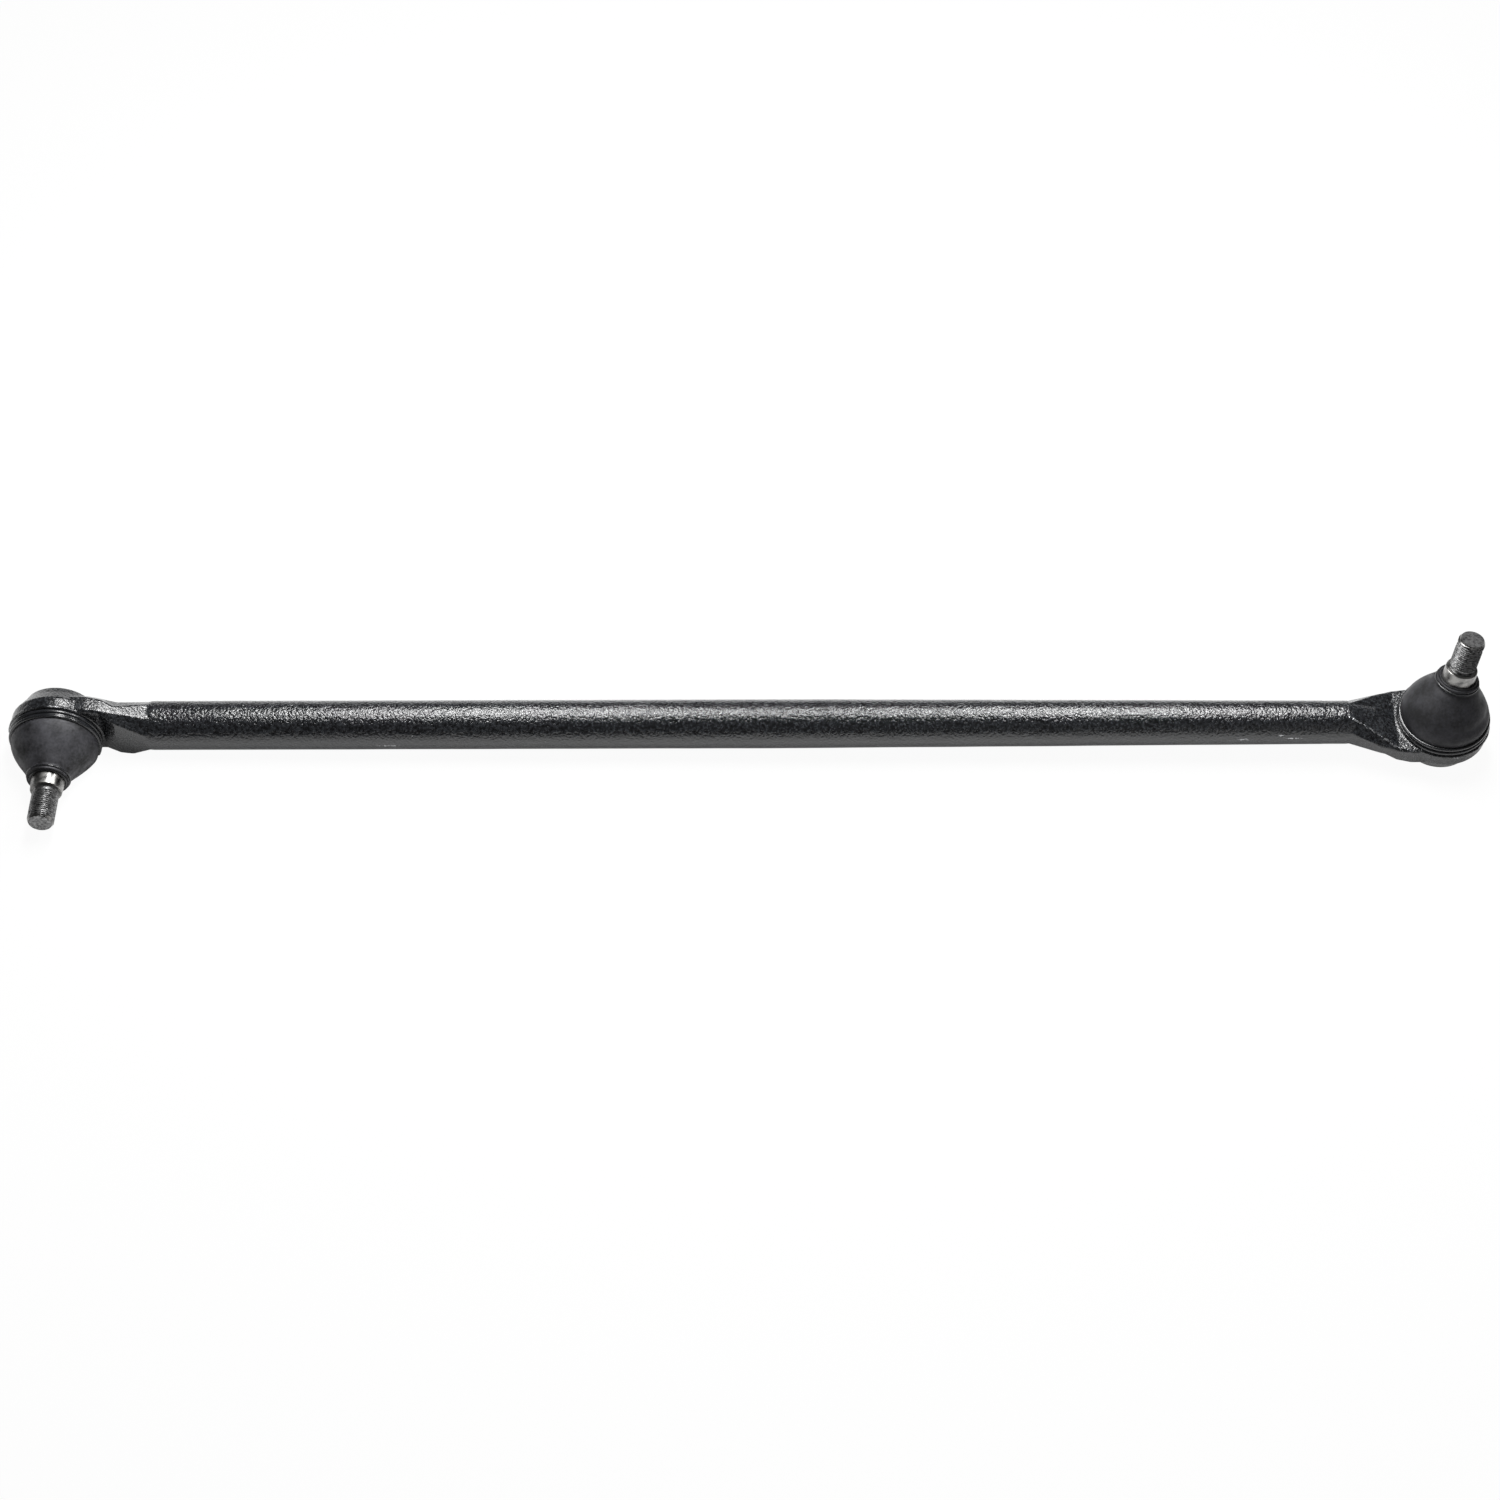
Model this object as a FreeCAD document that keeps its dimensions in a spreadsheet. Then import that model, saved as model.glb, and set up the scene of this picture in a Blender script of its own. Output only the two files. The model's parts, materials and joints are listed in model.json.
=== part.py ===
import FreeCAD, Part

# Steering drag link: a forged bar with a ball-stud socket at each end, in millimetres.
# +X runs along the bar towards its right-hand end and +Z is the right-hand socket's axis.
# The origin is the centre of the flat face of the right-hand end cover, on which that end rests.
# The left-hand socket is turned a quarter turn about the bar, so its stud points towards -Y.

import os
import re

import Sketcher
from FreeCAD import Placement, Rotation, Vector

# Every driving size: name, value, meaning. Heights and depths of a socket are counted from its ball centre,
# heights towards the stud's tip and depths towards the end cover.
SIZES = [
    ("ball_spacing", 830.0, "between the two ball centres, along the bar"),
    ("left_socket_offset", 5.0, "left ball centre from the bar's axis, towards its stud"),
    ("right_socket_offset", 0.0, "right ball centre from the bar's axis, towards its stud"),
    ("left_socket_turn", 90.0, "degrees that the left socket is turned about the bar"),
    ("bar_diameter", 29.4, "round bar, left-hand stretch"),
    ("bar_end_diameter", 26.0, "round bar where it meets the right-hand neck"),
    ("bar_taper_length", 330.0, "stretch over which the bar thins towards the right"),
    ("bar_overlap", 16.0, "bar's pointed end inside the neck"),
    ("bar_point_slope", 4.0, "how much that point narrows, on the radius"),
    ("octagon_angle", 22.5, "degrees to the first corner of the eight-sided section at the bar"),
    ("neck_length", 57.0, "ball centre to the end of the round bar"),
    ("waist_place", 37.0, "ball centre to the middle section of the neck"),
    ("root_place", 28.6, "ball centre to the section where the neck enters the housing"),
    ("waist_flat_width", 33.0, "flat face on the stud's side at the middle section"),
    ("waist_flat_height", 6.0, "that flat above the ball centre's plane"),
    ("waist_width", 40.0, "middle section, widest"),
    ("waist_wall_height", 1.0, "top of the side wall there"),
    ("waist_wall_depth", 4.2, "bottom of the side wall there"),
    ("waist_sole_width", 28.0, "flat face on the cover's side there"),
    ("waist_sole_depth", 12.0, "that face below the ball centre's plane"),
    ("root_flat_width", 42.0, "flat face on the stud's side at the housing"),
    ("root_flat_height", 2.2, "that flat above the ball centre's plane"),
    ("root_width", 45.0, "neck at the housing, widest"),
    ("root_wall_height", 0.8, "top of the side wall there"),
    ("root_wall_depth", 7.5, "bottom of the side wall there"),
    ("root_sole_width", 31.0, "flat face on the cover's side there"),
    ("root_sole_depth", 13.2, "that face below the ball centre's plane"),
    ("shoulder_place", 20.0, "ball centre to the section where the neck is fullest, beside the bowl"),
    ("shoulder_growth", 1.2, "how much that section stands outside the root section"),
    ("neck_inner_place", 8.0, "inner end of the neck, inside the housing wall"),
    ("housing_wall", 5.9, "round wall of the housing outside the bowl's lower edge, on the radius"),
    ("wall_depth", 6.0, "bottom of the round wall"),
    ("bowl_wall", 2.4, "bowl's lower edge outside the cover seat, on the radius"),
    ("bowl_depth", 16.2, "depth of that edge"),
    ("bowl_radius", 34.0, "curve of the bowl"),
    ("rim_width", 1.1, "trimmed forging rim round the wall, on the radius"),
    ("rim_height", 1.0, "underside of the rim"),
    ("rim_thickness", 1.0, "rim along the axis"),
    ("rim_slope", 0.7, "bevel above and below the rim"),
    ("shoulder_height", 2.7, "shoulder that the boot's cuff stands on"),
    ("spigot_wall", 6.1, "spigot inside the boot's cuff, outside the bore, on the radius"),
    ("spigot_height", 9.6, "top of the spigot"),
    ("nose_wall", 5.8, "nose round the stud opening, on the radius"),
    ("nose_height", 13.5, "top of the nose"),
    ("nose_bevel", 2.0, "bevel round the nose"),
    ("mouth_flare", 1.0, "how much the stud opening widens to the nose, on the radius"),
    ("throat_ledge", 1.8, "how far the stud opening is inside the ball's outline, on the radius"),
    ("bearing_wall", 3.45, "bearing halves round the ball, on the radius"),
    ("bore_height", 9.0, "shoulder at the top of the bore"),
    ("cover_seat_ledge", 0.6, "counterbore for the end cover, outside the bore, on the radius"),
    ("cover_seat_depth", 15.4, "where the counterbore starts"),
    ("lip_thickness", 1.3, "rolled lip that holds the cover"),
    ("lip_reach", 2.4, "how far the lip covers the end cover, on the radius"),
    ("lip_bevel", 1.0, "bevel round the lip"),
    ("ball_diameter", 30.0, "ball of the stud"),
    ("ball_flat_diameter", 12.4, "turned flat under the ball"),
    ("stud_neck_diameter", 14.5, "neck above the ball"),
    ("stud_neck_height", 16.5, "where the neck starts to widen"),
    ("taper_height", 24.0, "large end of the taper"),
    ("taper_large_diameter", 21.4, "large end of the taper"),
    ("taper_small_diameter", 18.8, "small end of the taper"),
    ("taper_length", 21.0, "length of the taper"),
    ("undercut_diameter", 13.6, "runout groove between taper and thread"),
    ("undercut_width", 2.4, "width of that groove"),
    ("thread_diameter", 15.875, "outside of the 5/8 inch thread"),
    ("thread_length", 20.6, "threaded end with its chamfer"),
    ("tip_diameter", 13.8, "end face of the stud"),
    ("tip_chamfer", 1.7, "chamfer at the tip"),
    ("pin_hole_diameter", 4.0, "cross hole for the split pin"),
    ("pin_hole_place", 5.8, "middle of that hole below the stud's tip"),
    ("left_pin_hole_heading", -30.0, "degrees that the left stud's cross hole is turned about the stud"),
    ("right_pin_hole_heading", -20.0, "the same of the right stud's"),
    ("running_gap", 0.05, "clearance of every running fit"),
    ("bearing_split_height", 0.4, "underside of the upper bearing"),
    ("bearing_split_depth", 0.6, "top of the lower bearing"),
    ("lower_bearing_depth", 14.6, "underside of the lower bearing"),
    ("lower_bearing_hole", 11.0, "hole under the ball"),
    ("washer_ledge", 6.3, "pressure washer inside the bore, on the radius"),
    ("washer_hole", 9.0, "hole that the ball swings over"),
    ("washer_thickness", 1.2, "pressure washer"),
    ("spring_room", 0.3, "disc spring inside the cover's dish, on the radius"),
    ("spring_hole", 10.0, "disc spring, hole"),
    ("spring_thickness", 1.1, "disc spring, plate"),
    ("cover_thickness", 1.7, "pressed sheet of the end cover"),
    ("cover_dish_ledge", 2.0, "cover's dished middle inside the lip's opening, on the radius"),
    ("cover_dish_depth", 20.1, "flat outer face of the dish"),
    ("cover_dish_slope", 0.9, "slope of the dish wall"),
    ("boot_wall", 2.0, "rubber of the boot"),
    ("cuff_wall", 1.3, "rubber of the boot's bottom cuff"),
    ("boot_bulge_diameter", 51.6, "boot just above its ring"),
    ("boot_bulge_height", 12.4, "height of that bulge"),
    ("boot_bulge_share", 0.04, "share of the stud's lean that the boot has taken up there"),
    ("boot_shoulder_diameter", 48.2, "boot a third of the way up"),
    ("boot_shoulder_height", 17.0, "height there"),
    ("boot_shoulder_share", 0.22, "share of the lean there"),
    ("boot_middle_diameter", 42.6, "boot half way up"),
    ("boot_middle_height", 21.6, "height there"),
    ("boot_middle_share", 0.48, "share of the lean there"),
    ("boot_slope_diameter", 35.4, "boot two thirds of the way up"),
    ("boot_slope_height", 26.4, "height there"),
    ("boot_slope_share", 0.74, "share of the lean there"),
    ("boot_top_diameter", 28.8, "boot just under its neck"),
    ("boot_top_height", 31.2, "height there"),
    ("boot_top_share", 0.95, "share of the lean there"),
    ("boot_neck_diameter", 25.6, "neck cuff of the boot"),
    ("boot_neck_start", 32.8, "where the neck cuff starts"),
    ("boot_neck_end", 36.8, "end face of the neck cuff"),
    ("base_ring_wall", 0.7, "sheet between the beads of the base ring"),
    ("low_bead_height", 4.2, "lower bead of the base ring"),
    ("low_bead_radius", 1.3, "lower bead"),
    ("high_bead_height", 7.4, "upper bead of the base ring"),
    ("high_bead_radius", 1.05, "upper bead"),
    ("bead_flatness", 1.03, "curve of both beads against a half circle"),
    ("neck_ring_height", 34.6, "middle of the neck ring"),
    ("neck_ring_radius", 0.6, "wire of the neck ring"),
    ("neck_ring_depth", 0.75, "how far the wire is sunk in the rubber"),
    ("bush_wall", 1.1, "neck bush inside the boot"),
    ("bush_flange", 0.5, "bush standing out of the neck cuff"),
    ("right_lean", 10.6, "degrees that the right stud leans at rest"),
    ("right_lean_heading", 54.0, "heading of that lean, from the bar's outer end round the axis"),
    ("left_lean", 2.1, "degrees that the left stud leans at rest"),
    ("left_lean_heading", -79.0, "heading of that lean"),
]

# Sizes that follow from others, so that nested pieces keep their walls when one of them changes.
FOLLOWING = {
    "bore_diameter": "ball_diameter + 2 * (running_gap + bearing_wall)",
    "throat_diameter": "ball_diameter - 2 * throat_ledge",
    "mouth_diameter": "throat_diameter + 2 * mouth_flare",
    "nose_diameter": "mouth_diameter + 2 * nose_wall",
    "spigot_diameter": "bore_diameter + 2 * spigot_wall",
    "cover_seat_diameter": "bore_diameter + 2 * cover_seat_ledge",
    "lip_diameter": "cover_seat_diameter - 2 * lip_reach",
    "bowl_diameter": "cover_seat_diameter + 2 * bowl_wall",
    "housing_diameter": "bowl_diameter + 2 * housing_wall",
    "rim_diameter": "housing_diameter + 2 * rim_width",
    "washer_diameter": "bore_diameter - 2 * washer_ledge",
    "cover_dish_diameter": "lip_diameter - 2 * cover_dish_ledge",
    "spring_diameter": "cover_dish_diameter - 2 * (cover_thickness + cover_dish_slope + spring_room)",
}

doc = FreeCAD.newDocument("steering_drag_link")
sheet = doc.addObject("Spreadsheet::Sheet", "Sizes")
for row, (alias, value, meaning) in enumerate(SIZES, start=1):
    sheet.set("A%d" % row, alias)
    sheet.set("B%d" % row, repr(value))
    sheet.set("C%d" % row, meaning)
    sheet.setAlias("B%d" % row, alias)
doc.recompute()

FUNCTIONS = ("sqrt", "tan", "sin", "cos", "asin", "max", "min")


def cell_of(match):
    """The cell of a size name, the formula of one that follows, or a function's name as it is."""
    word = match.group(0)
    if word in FOLLOWING:
        return "(" + cells(FOLLOWING[word]) + ")"
    return word if word in FUNCTIONS else "Sizes." + word


def cells(formula):
    """A formula in plain size names, with each name turned into its cell."""
    return re.sub(r"[a-z][a-z_]+", cell_of, formula)


def size(formula):
    """The number that a formula gives now."""
    value = sheet.evalExpression(cells(formula))
    return float(getattr(value, "Value", value))


def draw_outline(sketch, outline):
    """Draw a closed outline. Each corner is (across, up) or (across, up, radius, side): the edge that
    leaves such a corner is an arc, bulging to the left (+1) or to the right (-1) of its chord."""
    corners = [Vector(size(corner[0]), size(corner[1]), 0) for corner in outline]
    shapes = []
    limits = []
    bound = []
    for number, corner in enumerate(outline):
        start = corners[number]
        end = corners[(number + 1) % len(corners)]
        if len(corner) == 2:
            shapes.append(Part.LineSegment(start, end))
        else:
            shapes.append(arc_between(start, end, size(corner[2]), corner[3]))
    sketch.addGeometry(shapes, False)
    for number, corner in enumerate(outline):
        first = first_point(outline, number)
        before = (number - 1) % len(outline)
        limits.append(Sketcher.Constraint("Coincident", before, 3 - first_point(outline, before), number, first))
        if corner[0] == "0":
            limits.append(Sketcher.Constraint("PointOnObject", number, first, -2))
        else:
            limits.append(Sketcher.Constraint("DistanceX", -1, 1, number, first, corners[number].x))
            bound.append((len(limits) - 1, corner[0]))
        limits.append(Sketcher.Constraint("DistanceY", -1, 1, number, first, corners[number].y))
        bound.append((len(limits) - 1, corner[1]))
        if len(corner) == 4:
            limits.append(Sketcher.Constraint("Radius", number, size(corner[2])))
            bound.append((len(limits) - 1, corner[2]))
    sketch.addConstraint(limits)
    for index, formula in bound:
        sketch.setExpression("Constraints[%d]" % index, cells(formula))


def first_point(outline, number):
    """Which end of an edge lies on its own corner: an arc that bulges left is drawn from its far end."""
    return 2 if len(outline[number]) == 4 and outline[number][3] > 0 else 1


def arc_between(start, end, radius, side):
    """The short arc of that radius from start to end, bulging to the given side of the chord."""
    chord = end - start
    half = chord.Length / 2
    normal = Vector(-chord.y, chord.x, 0).normalize()
    centre = (start + end) / 2 - normal * side * (radius * radius - half * half) ** 0.5
    middle = centre + normal * side * radius
    return Part.Arc(start, middle, end)


def plane_of(body, role):
    """One of a body's own origin planes."""
    return next(plane for plane in body.Origin.OriginFeatures if plane.Role == role)


def turned(label, outline):
    """A piece turned about its own Z axis from half its section, given as (radius, height) corners."""
    body = doc.addObject("PartDesign::Body", label)
    body.Label = label
    sketch = body.newObject("Sketcher::SketchObject", label + "_section")
    sketch.AttachmentSupport = [(plane_of(body, "XZ_Plane"), "")]
    sketch.MapMode = "FlatFace"
    draw_outline(sketch, outline)
    turn = body.newObject("PartDesign::Revolution", label + "_turn")
    turn.Profile = sketch
    turn.ReferenceAxis = (sketch, ["V_Axis"])
    turn.Angle = 360
    body.Tip = turn
    return body


def placed(piece, placement):
    """Put a piece at its place and hand it back."""
    piece.Placement = placement
    return piece


class End:
    """One end of the link: its name, the frame of its socket and the frame of its leaning stud."""

    def __init__(self, name, sign, turn, offset, lean, heading):
        self.name = name
        self.sign = sign
        self.offset = offset
        self.turn = Rotation(Vector(1, 0, 0), turn)
        outward = Rotation() if sign > 0 else Rotation(Vector(0, 0, 1), 180)
        self.facing = self.turn.multiply(outward)
        axis = self.turn.multVec(Vector(0, 0, 1))
        across = size("ball_spacing") if sign < 0 else 0.0
        self.ball = Vector(-across, 0, bar_height) + axis * size(offset)
        self.lean = size(lean)
        self.heading = size(heading)
        self.pin_hole_heading = size(name + "_pin_hole_heading")
        self.socket = Placement(self.ball, self.facing)
        self.stud = self.leaning(1.0)

    def leaning(self, share):
        """The socket's frame, turned about the ball centre by a share of the stud's lean."""
        heading = Rotation(Vector(0, 0, 1), self.heading)
        tilt_axis = heading.multVec(Vector(0, 1, 0))
        tilt = Rotation(tilt_axis, self.lean * share)
        return self.socket.multiply(Placement(Vector(), tilt))

    def label(self, piece):
        return self.name + "_" + piece


bar_height = size("cover_dish_depth - right_socket_offset")
right = End("right", 1, 0.0, "right_socket_offset", "right_lean", "right_lean_heading")
left = End("left", -1, size("left_socket_turn"), "left_socket_offset", "left_lean", "left_lean_heading")
ENDS = (left, right)


# The forged link


def bar():
    """The round bar, turned about X: straight on the left, thinning towards the right, pointed inside the necks."""
    outline = [
        ("0", "-(ball_spacing - neck_length) - bar_overlap"),
        ("bar_diameter / 2 - bar_point_slope", "-(ball_spacing - neck_length) - bar_overlap"),
        ("bar_diameter / 2", "-(ball_spacing - neck_length)"),
        ("bar_diameter / 2", "-neck_length - bar_taper_length"),
        ("bar_end_diameter / 2", "-neck_length"),
        ("bar_end_diameter / 2 - bar_point_slope", "-neck_length + bar_overlap"),
        ("0", "-neck_length + bar_overlap"),
    ]
    lie_down = Rotation(Vector(0, 1, 0), 90)
    return placed(turned("bar", outline), Placement(Vector(0, 0, bar_height), lie_down))


def neck_section(name, end, place, corners, lift):
    """One cross-section of a neck, square to the bar, from its four corners on one side."""
    sketch = doc.addObject("Sketcher::SketchObject", name)
    mirrored = [("-(" + across + ")", up) for across, up in reversed(corners)]
    draw_outline(sketch, [(across, "(" + up + ") + " + lift) for across, up in corners + mirrored])
    stand = Rotation(Vector(0, 1, 0), Vector(0, 0, 1), Vector(1, 0, 0), "ZXY")
    on_bar_axis = end.ball - end.turn.multVec(Vector(0, 0, 1)) * size(end.offset)
    inward = Vector(-end.sign * size(place), 0, 0)
    sketch.Placement = Placement(on_bar_axis + inward, end.turn.multiply(stand))
    return sketch


def neck(end, bar_size):
    """The flattened neck: an eight-sided section that leaves the round bar, widens and runs into the housing."""
    round_corner = (bar_size + " / 2 * cos(octagon_angle)", bar_size + " / 2 * sin(octagon_angle)")
    waist = [("waist_sole_width / 2", "-waist_sole_depth"), ("waist_width / 2", "-waist_wall_depth"),
             ("waist_width / 2", "waist_wall_height"), ("waist_flat_width / 2", "waist_flat_height")]
    root = [("root_sole_width / 2", "-root_sole_depth"), ("root_width / 2", "-root_wall_depth"),
            ("root_width / 2", "root_wall_height"), ("root_flat_width / 2", "root_flat_height")]
    start = [(round_corner[1], "-" + round_corner[0]), (round_corner[0], "-" + round_corner[1]),
             round_corner, (round_corner[1], round_corner[0])]
    shoulder = [(across + " + shoulder_growth", up + " - shoulder_growth" if up.startswith("-") else up)
                for across, up in root]
    sections = [
        neck_section(end.label("neck_start"), end, "neck_length", start, "0"),
        neck_section(end.label("neck_waist"), end, "waist_place", waist, end.offset),
        neck_section(end.label("neck_root"), end, "root_place", root, end.offset),
        neck_section(end.label("neck_shoulder"), end, "shoulder_place", shoulder, end.offset),
        neck_section(end.label("neck_inner"), end, "neck_inner_place", shoulder, end.offset),
    ]
    loft = doc.addObject("Part::Loft", end.label("neck"))
    loft.Sections = sections
    loft.Solid = True
    loft.Ruled = True
    return loft


def housing(end):
    """The round socket housing: spigot, shoulder, trimmed rim, wall and bowl."""
    outline = [
        ("0", "-(cover_seat_depth + cover_thickness + lip_thickness)"),
        ("bowl_diameter / 2 - lip_bevel", "-(cover_seat_depth + cover_thickness + lip_thickness)"),
        ("bowl_diameter / 2", "-bowl_depth", "bowl_radius", -1),
        ("housing_diameter / 2", "-wall_depth"),
        ("housing_diameter / 2", "rim_height - rim_slope"),
        ("rim_diameter / 2", "rim_height"),
        ("rim_diameter / 2", "rim_height + rim_thickness"),
        ("housing_diameter / 2", "shoulder_height"),
        ("spigot_diameter / 2", "shoulder_height"),
        ("spigot_diameter / 2", "spigot_height"),
        ("nose_diameter / 2", "spigot_height"),
        ("nose_diameter / 2", "nose_height - nose_bevel"),
        ("nose_diameter / 2 - nose_bevel", "nose_height"),
        ("0", "nose_height"),
    ]
    return placed(turned(end.label("housing"), outline), end.socket)


def cavity(end):
    """What is bored out of the housing: cover opening, cover seat, bearing bore and flared stud opening."""
    outline = [
        ("0", "-(cover_seat_depth + cover_thickness + 2 * lip_thickness)"),
        ("lip_diameter / 2", "-(cover_seat_depth + cover_thickness + 2 * lip_thickness)"),
        ("lip_diameter / 2", "-(cover_seat_depth + cover_thickness)"),
        ("cover_seat_diameter / 2", "-(cover_seat_depth + cover_thickness)"),
        ("cover_seat_diameter / 2", "-cover_seat_depth"),
        ("bore_diameter / 2", "-cover_seat_depth"),
        ("bore_diameter / 2", "bore_height"),
        ("throat_diameter / 2", "bore_height"),
        ("mouth_diameter / 2", "nose_height"),
        ("mouth_diameter / 2", "nose_height + nose_bevel"),
        ("0", "nose_height + nose_bevel"),
    ]
    return placed(turned(end.label("cavity"), outline), end.socket)


def forged_link():
    """Bar, necks and housings in one forging, with both sockets bored."""
    blank = doc.addObject("Part::MultiFuse", "link_blank")
    necks = [neck(left, "bar_diameter"), neck(right, "bar_end_diameter")]
    blank.Shapes = [bar(), housing(left), housing(right)] + necks
    blank.Refine = True
    bores = doc.addObject("Part::MultiFuse", "link_bores")
    bores.Shapes = [cavity(left), cavity(right)]
    link = doc.addObject("Part::Cut", "link")
    link.Base = blank
    link.Tool = bores
    link.Label = "forged_link"
    return link


# The pieces of one socket


def pin_hole(end):
    """Drill for the split pin's hole, across the threaded end."""
    tip = size("taper_height + taper_length + undercut_width + thread_length")
    hole = doc.addObject("Part::Cylinder", end.label("pin_hole"))
    hole.setExpression("Radius", cells("pin_hole_diameter / 2"))
    hole.setExpression("Height", cells("2 * thread_diameter"))
    across = Rotation(Vector(0, 0, 1), end.pin_hole_heading).multiply(Rotation(Vector(0, 1, 0), 90))
    start = across.multVec(Vector(0, 0, -size("thread_diameter")))
    return placed(hole, Placement(start + Vector(0, 0, tip - size("pin_hole_place")), across))


def ball_stud(end):
    """Ball, neck, taper, runout groove and threaded end, turned in one piece and drilled for a split pin."""
    flat = "-sqrt(ball_diameter ^ 2 - ball_flat_diameter ^ 2) / 2"
    undercut = "taper_height + taper_length"
    thread = undercut + " + undercut_width"
    outline = [
        ("0", flat),
        ("ball_flat_diameter / 2", flat, "ball_diameter / 2", -1),
        ("ball_diameter / 2", "0", "ball_diameter / 2", -1),
        ("stud_neck_diameter / 2", "sqrt(ball_diameter ^ 2 - stud_neck_diameter ^ 2) / 2"),
        ("stud_neck_diameter / 2", "stud_neck_height"),
        ("taper_large_diameter / 2", "taper_height"),
        ("taper_small_diameter / 2", undercut),
        ("undercut_diameter / 2", undercut),
        ("undercut_diameter / 2", thread),
        ("thread_diameter / 2", thread + " + undercut_width / 4"),
        ("thread_diameter / 2", thread + " + thread_length - tip_chamfer"),
        ("tip_diameter / 2", thread + " + thread_length"),
        ("0", thread + " + thread_length"),
    ]
    stud = doc.addObject("Part::Cut", end.label("drilled_stud"))
    stud.Base = turned(end.label("turned_stud"), outline)
    stud.Tool = pin_hole(end)
    stud.Label = end.label("ball_stud")
    return placed(stud, end.stud)


BALL_ROOM = "(ball_diameter / 2 + running_gap)"


def room_at(height):
    """The radius of the ball's room in a bearing at a height."""
    return "sqrt(" + BALL_ROOM + " ^ 2 - (" + height + ") ^ 2)"


def upper_bearing(end):
    """Bearing half over the ball, against the shoulder of the bore."""
    top = "bore_height - running_gap"
    outline = [
        (room_at("bearing_split_height"), "bearing_split_height"),
        ("bore_diameter / 2 - running_gap", "bearing_split_height"),
        ("bore_diameter / 2 - running_gap", top),
        (room_at(top), top, BALL_ROOM, 1),
    ]
    return placed(turned(end.label("upper_bearing"), outline), end.socket)


def lower_bearing(end):
    """Bearing cup under the ball."""
    foot = "sqrt(" + BALL_ROOM + " ^ 2 - lower_bearing_hole ^ 2 / 4)"
    outline = [
        ("lower_bearing_hole / 2", "-lower_bearing_depth"),
        ("bore_diameter / 2 - running_gap", "-lower_bearing_depth"),
        ("bore_diameter / 2 - running_gap", "-bearing_split_depth"),
        (room_at("bearing_split_depth"), "-bearing_split_depth", BALL_ROOM, 1),
        ("lower_bearing_hole / 2", "-" + foot),
    ]
    return placed(turned(end.label("lower_bearing"), outline), end.socket)


WASHER_DEPTH = "(lower_bearing_depth + running_gap)"
SPRING_DEPTH = "(" + WASHER_DEPTH + " + washer_thickness)"
DISH_FLOOR = "(cover_dish_depth - cover_thickness)"


def pressure_washer(end):
    """Flat washer between the lower bearing and the spring."""
    outline = [
        ("washer_hole / 2", "-" + SPRING_DEPTH),
        ("washer_diameter / 2", "-" + SPRING_DEPTH),
        ("washer_diameter / 2", "-" + WASHER_DEPTH),
        ("washer_hole / 2", "-" + WASHER_DEPTH),
    ]
    return placed(turned(end.label("pressure_washer"), outline), end.socket)


def preload_spring(end):
    """Disc spring: its inner edge presses on the washer and its outer edge stands in the cover's dish."""
    outline = [
        ("spring_hole / 2", "-(" + SPRING_DEPTH + " + spring_thickness)"),
        ("spring_diameter / 2", "-" + DISH_FLOOR),
        ("spring_diameter / 2", "-(" + DISH_FLOOR + " - spring_thickness)"),
        ("spring_hole / 2", "-" + SPRING_DEPTH),
    ]
    return placed(turned(end.label("preload_spring"), outline), end.socket)


def end_cover(end):
    """Pressed cover: a flange under the rolled lip and a dished middle with a flat outer face."""
    flange = "cover_seat_depth"
    outline = [
        ("0", "-cover_dish_depth"),
        ("cover_dish_diameter / 2 - cover_dish_slope", "-cover_dish_depth"),
        ("cover_dish_diameter / 2", "-(" + flange + " + cover_thickness)"),
        ("cover_seat_diameter / 2", "-(" + flange + " + cover_thickness)"),
        ("cover_seat_diameter / 2", "-" + flange),
        ("cover_dish_diameter / 2 - cover_thickness", "-" + flange),
        ("cover_dish_diameter / 2 - cover_thickness - cover_dish_slope", "-" + DISH_FLOOR),
        ("0", "-" + DISH_FLOOR),
    ]
    return placed(turned(end.label("end_cover"), outline), end.socket)


CUFF_INSIDE = "(spigot_diameter / 2 + running_gap)"
CUFF_OUTSIDE = "(spigot_diameter / 2 + running_gap + cuff_wall)"


def base_ring(end):
    """Pressed ring with two beads that holds the boot's cuff on the spigot."""
    wall = CUFF_OUTSIDE + " + base_ring_wall"
    outline = [
        (CUFF_OUTSIDE, "shoulder_height + running_gap"),
        (wall, "shoulder_height + running_gap"),
        (wall, "low_bead_height - low_bead_radius", "low_bead_radius * bead_flatness", -1),
        (wall, "low_bead_height + low_bead_radius"),
        (wall, "high_bead_height - high_bead_radius", "high_bead_radius * bead_flatness", -1),
        (wall, "high_bead_height + high_bead_radius"),
        (CUFF_OUTSIDE, "high_bead_height + high_bead_radius"),
    ]
    return placed(turned(end.label("boot_base_ring"), outline), end.socket)


def boot_ring(end, name, radius, height, share):
    """One circle of the boot's wall, tipped by a share of the stud's lean."""
    circle = doc.addObject("Part::Circle", name)
    circle.setExpression("Radius", cells(radius))
    circle.Placement = end.leaning(share).multiply(Placement(Vector(0, 0, size(height)), Rotation()))
    return circle


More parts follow.
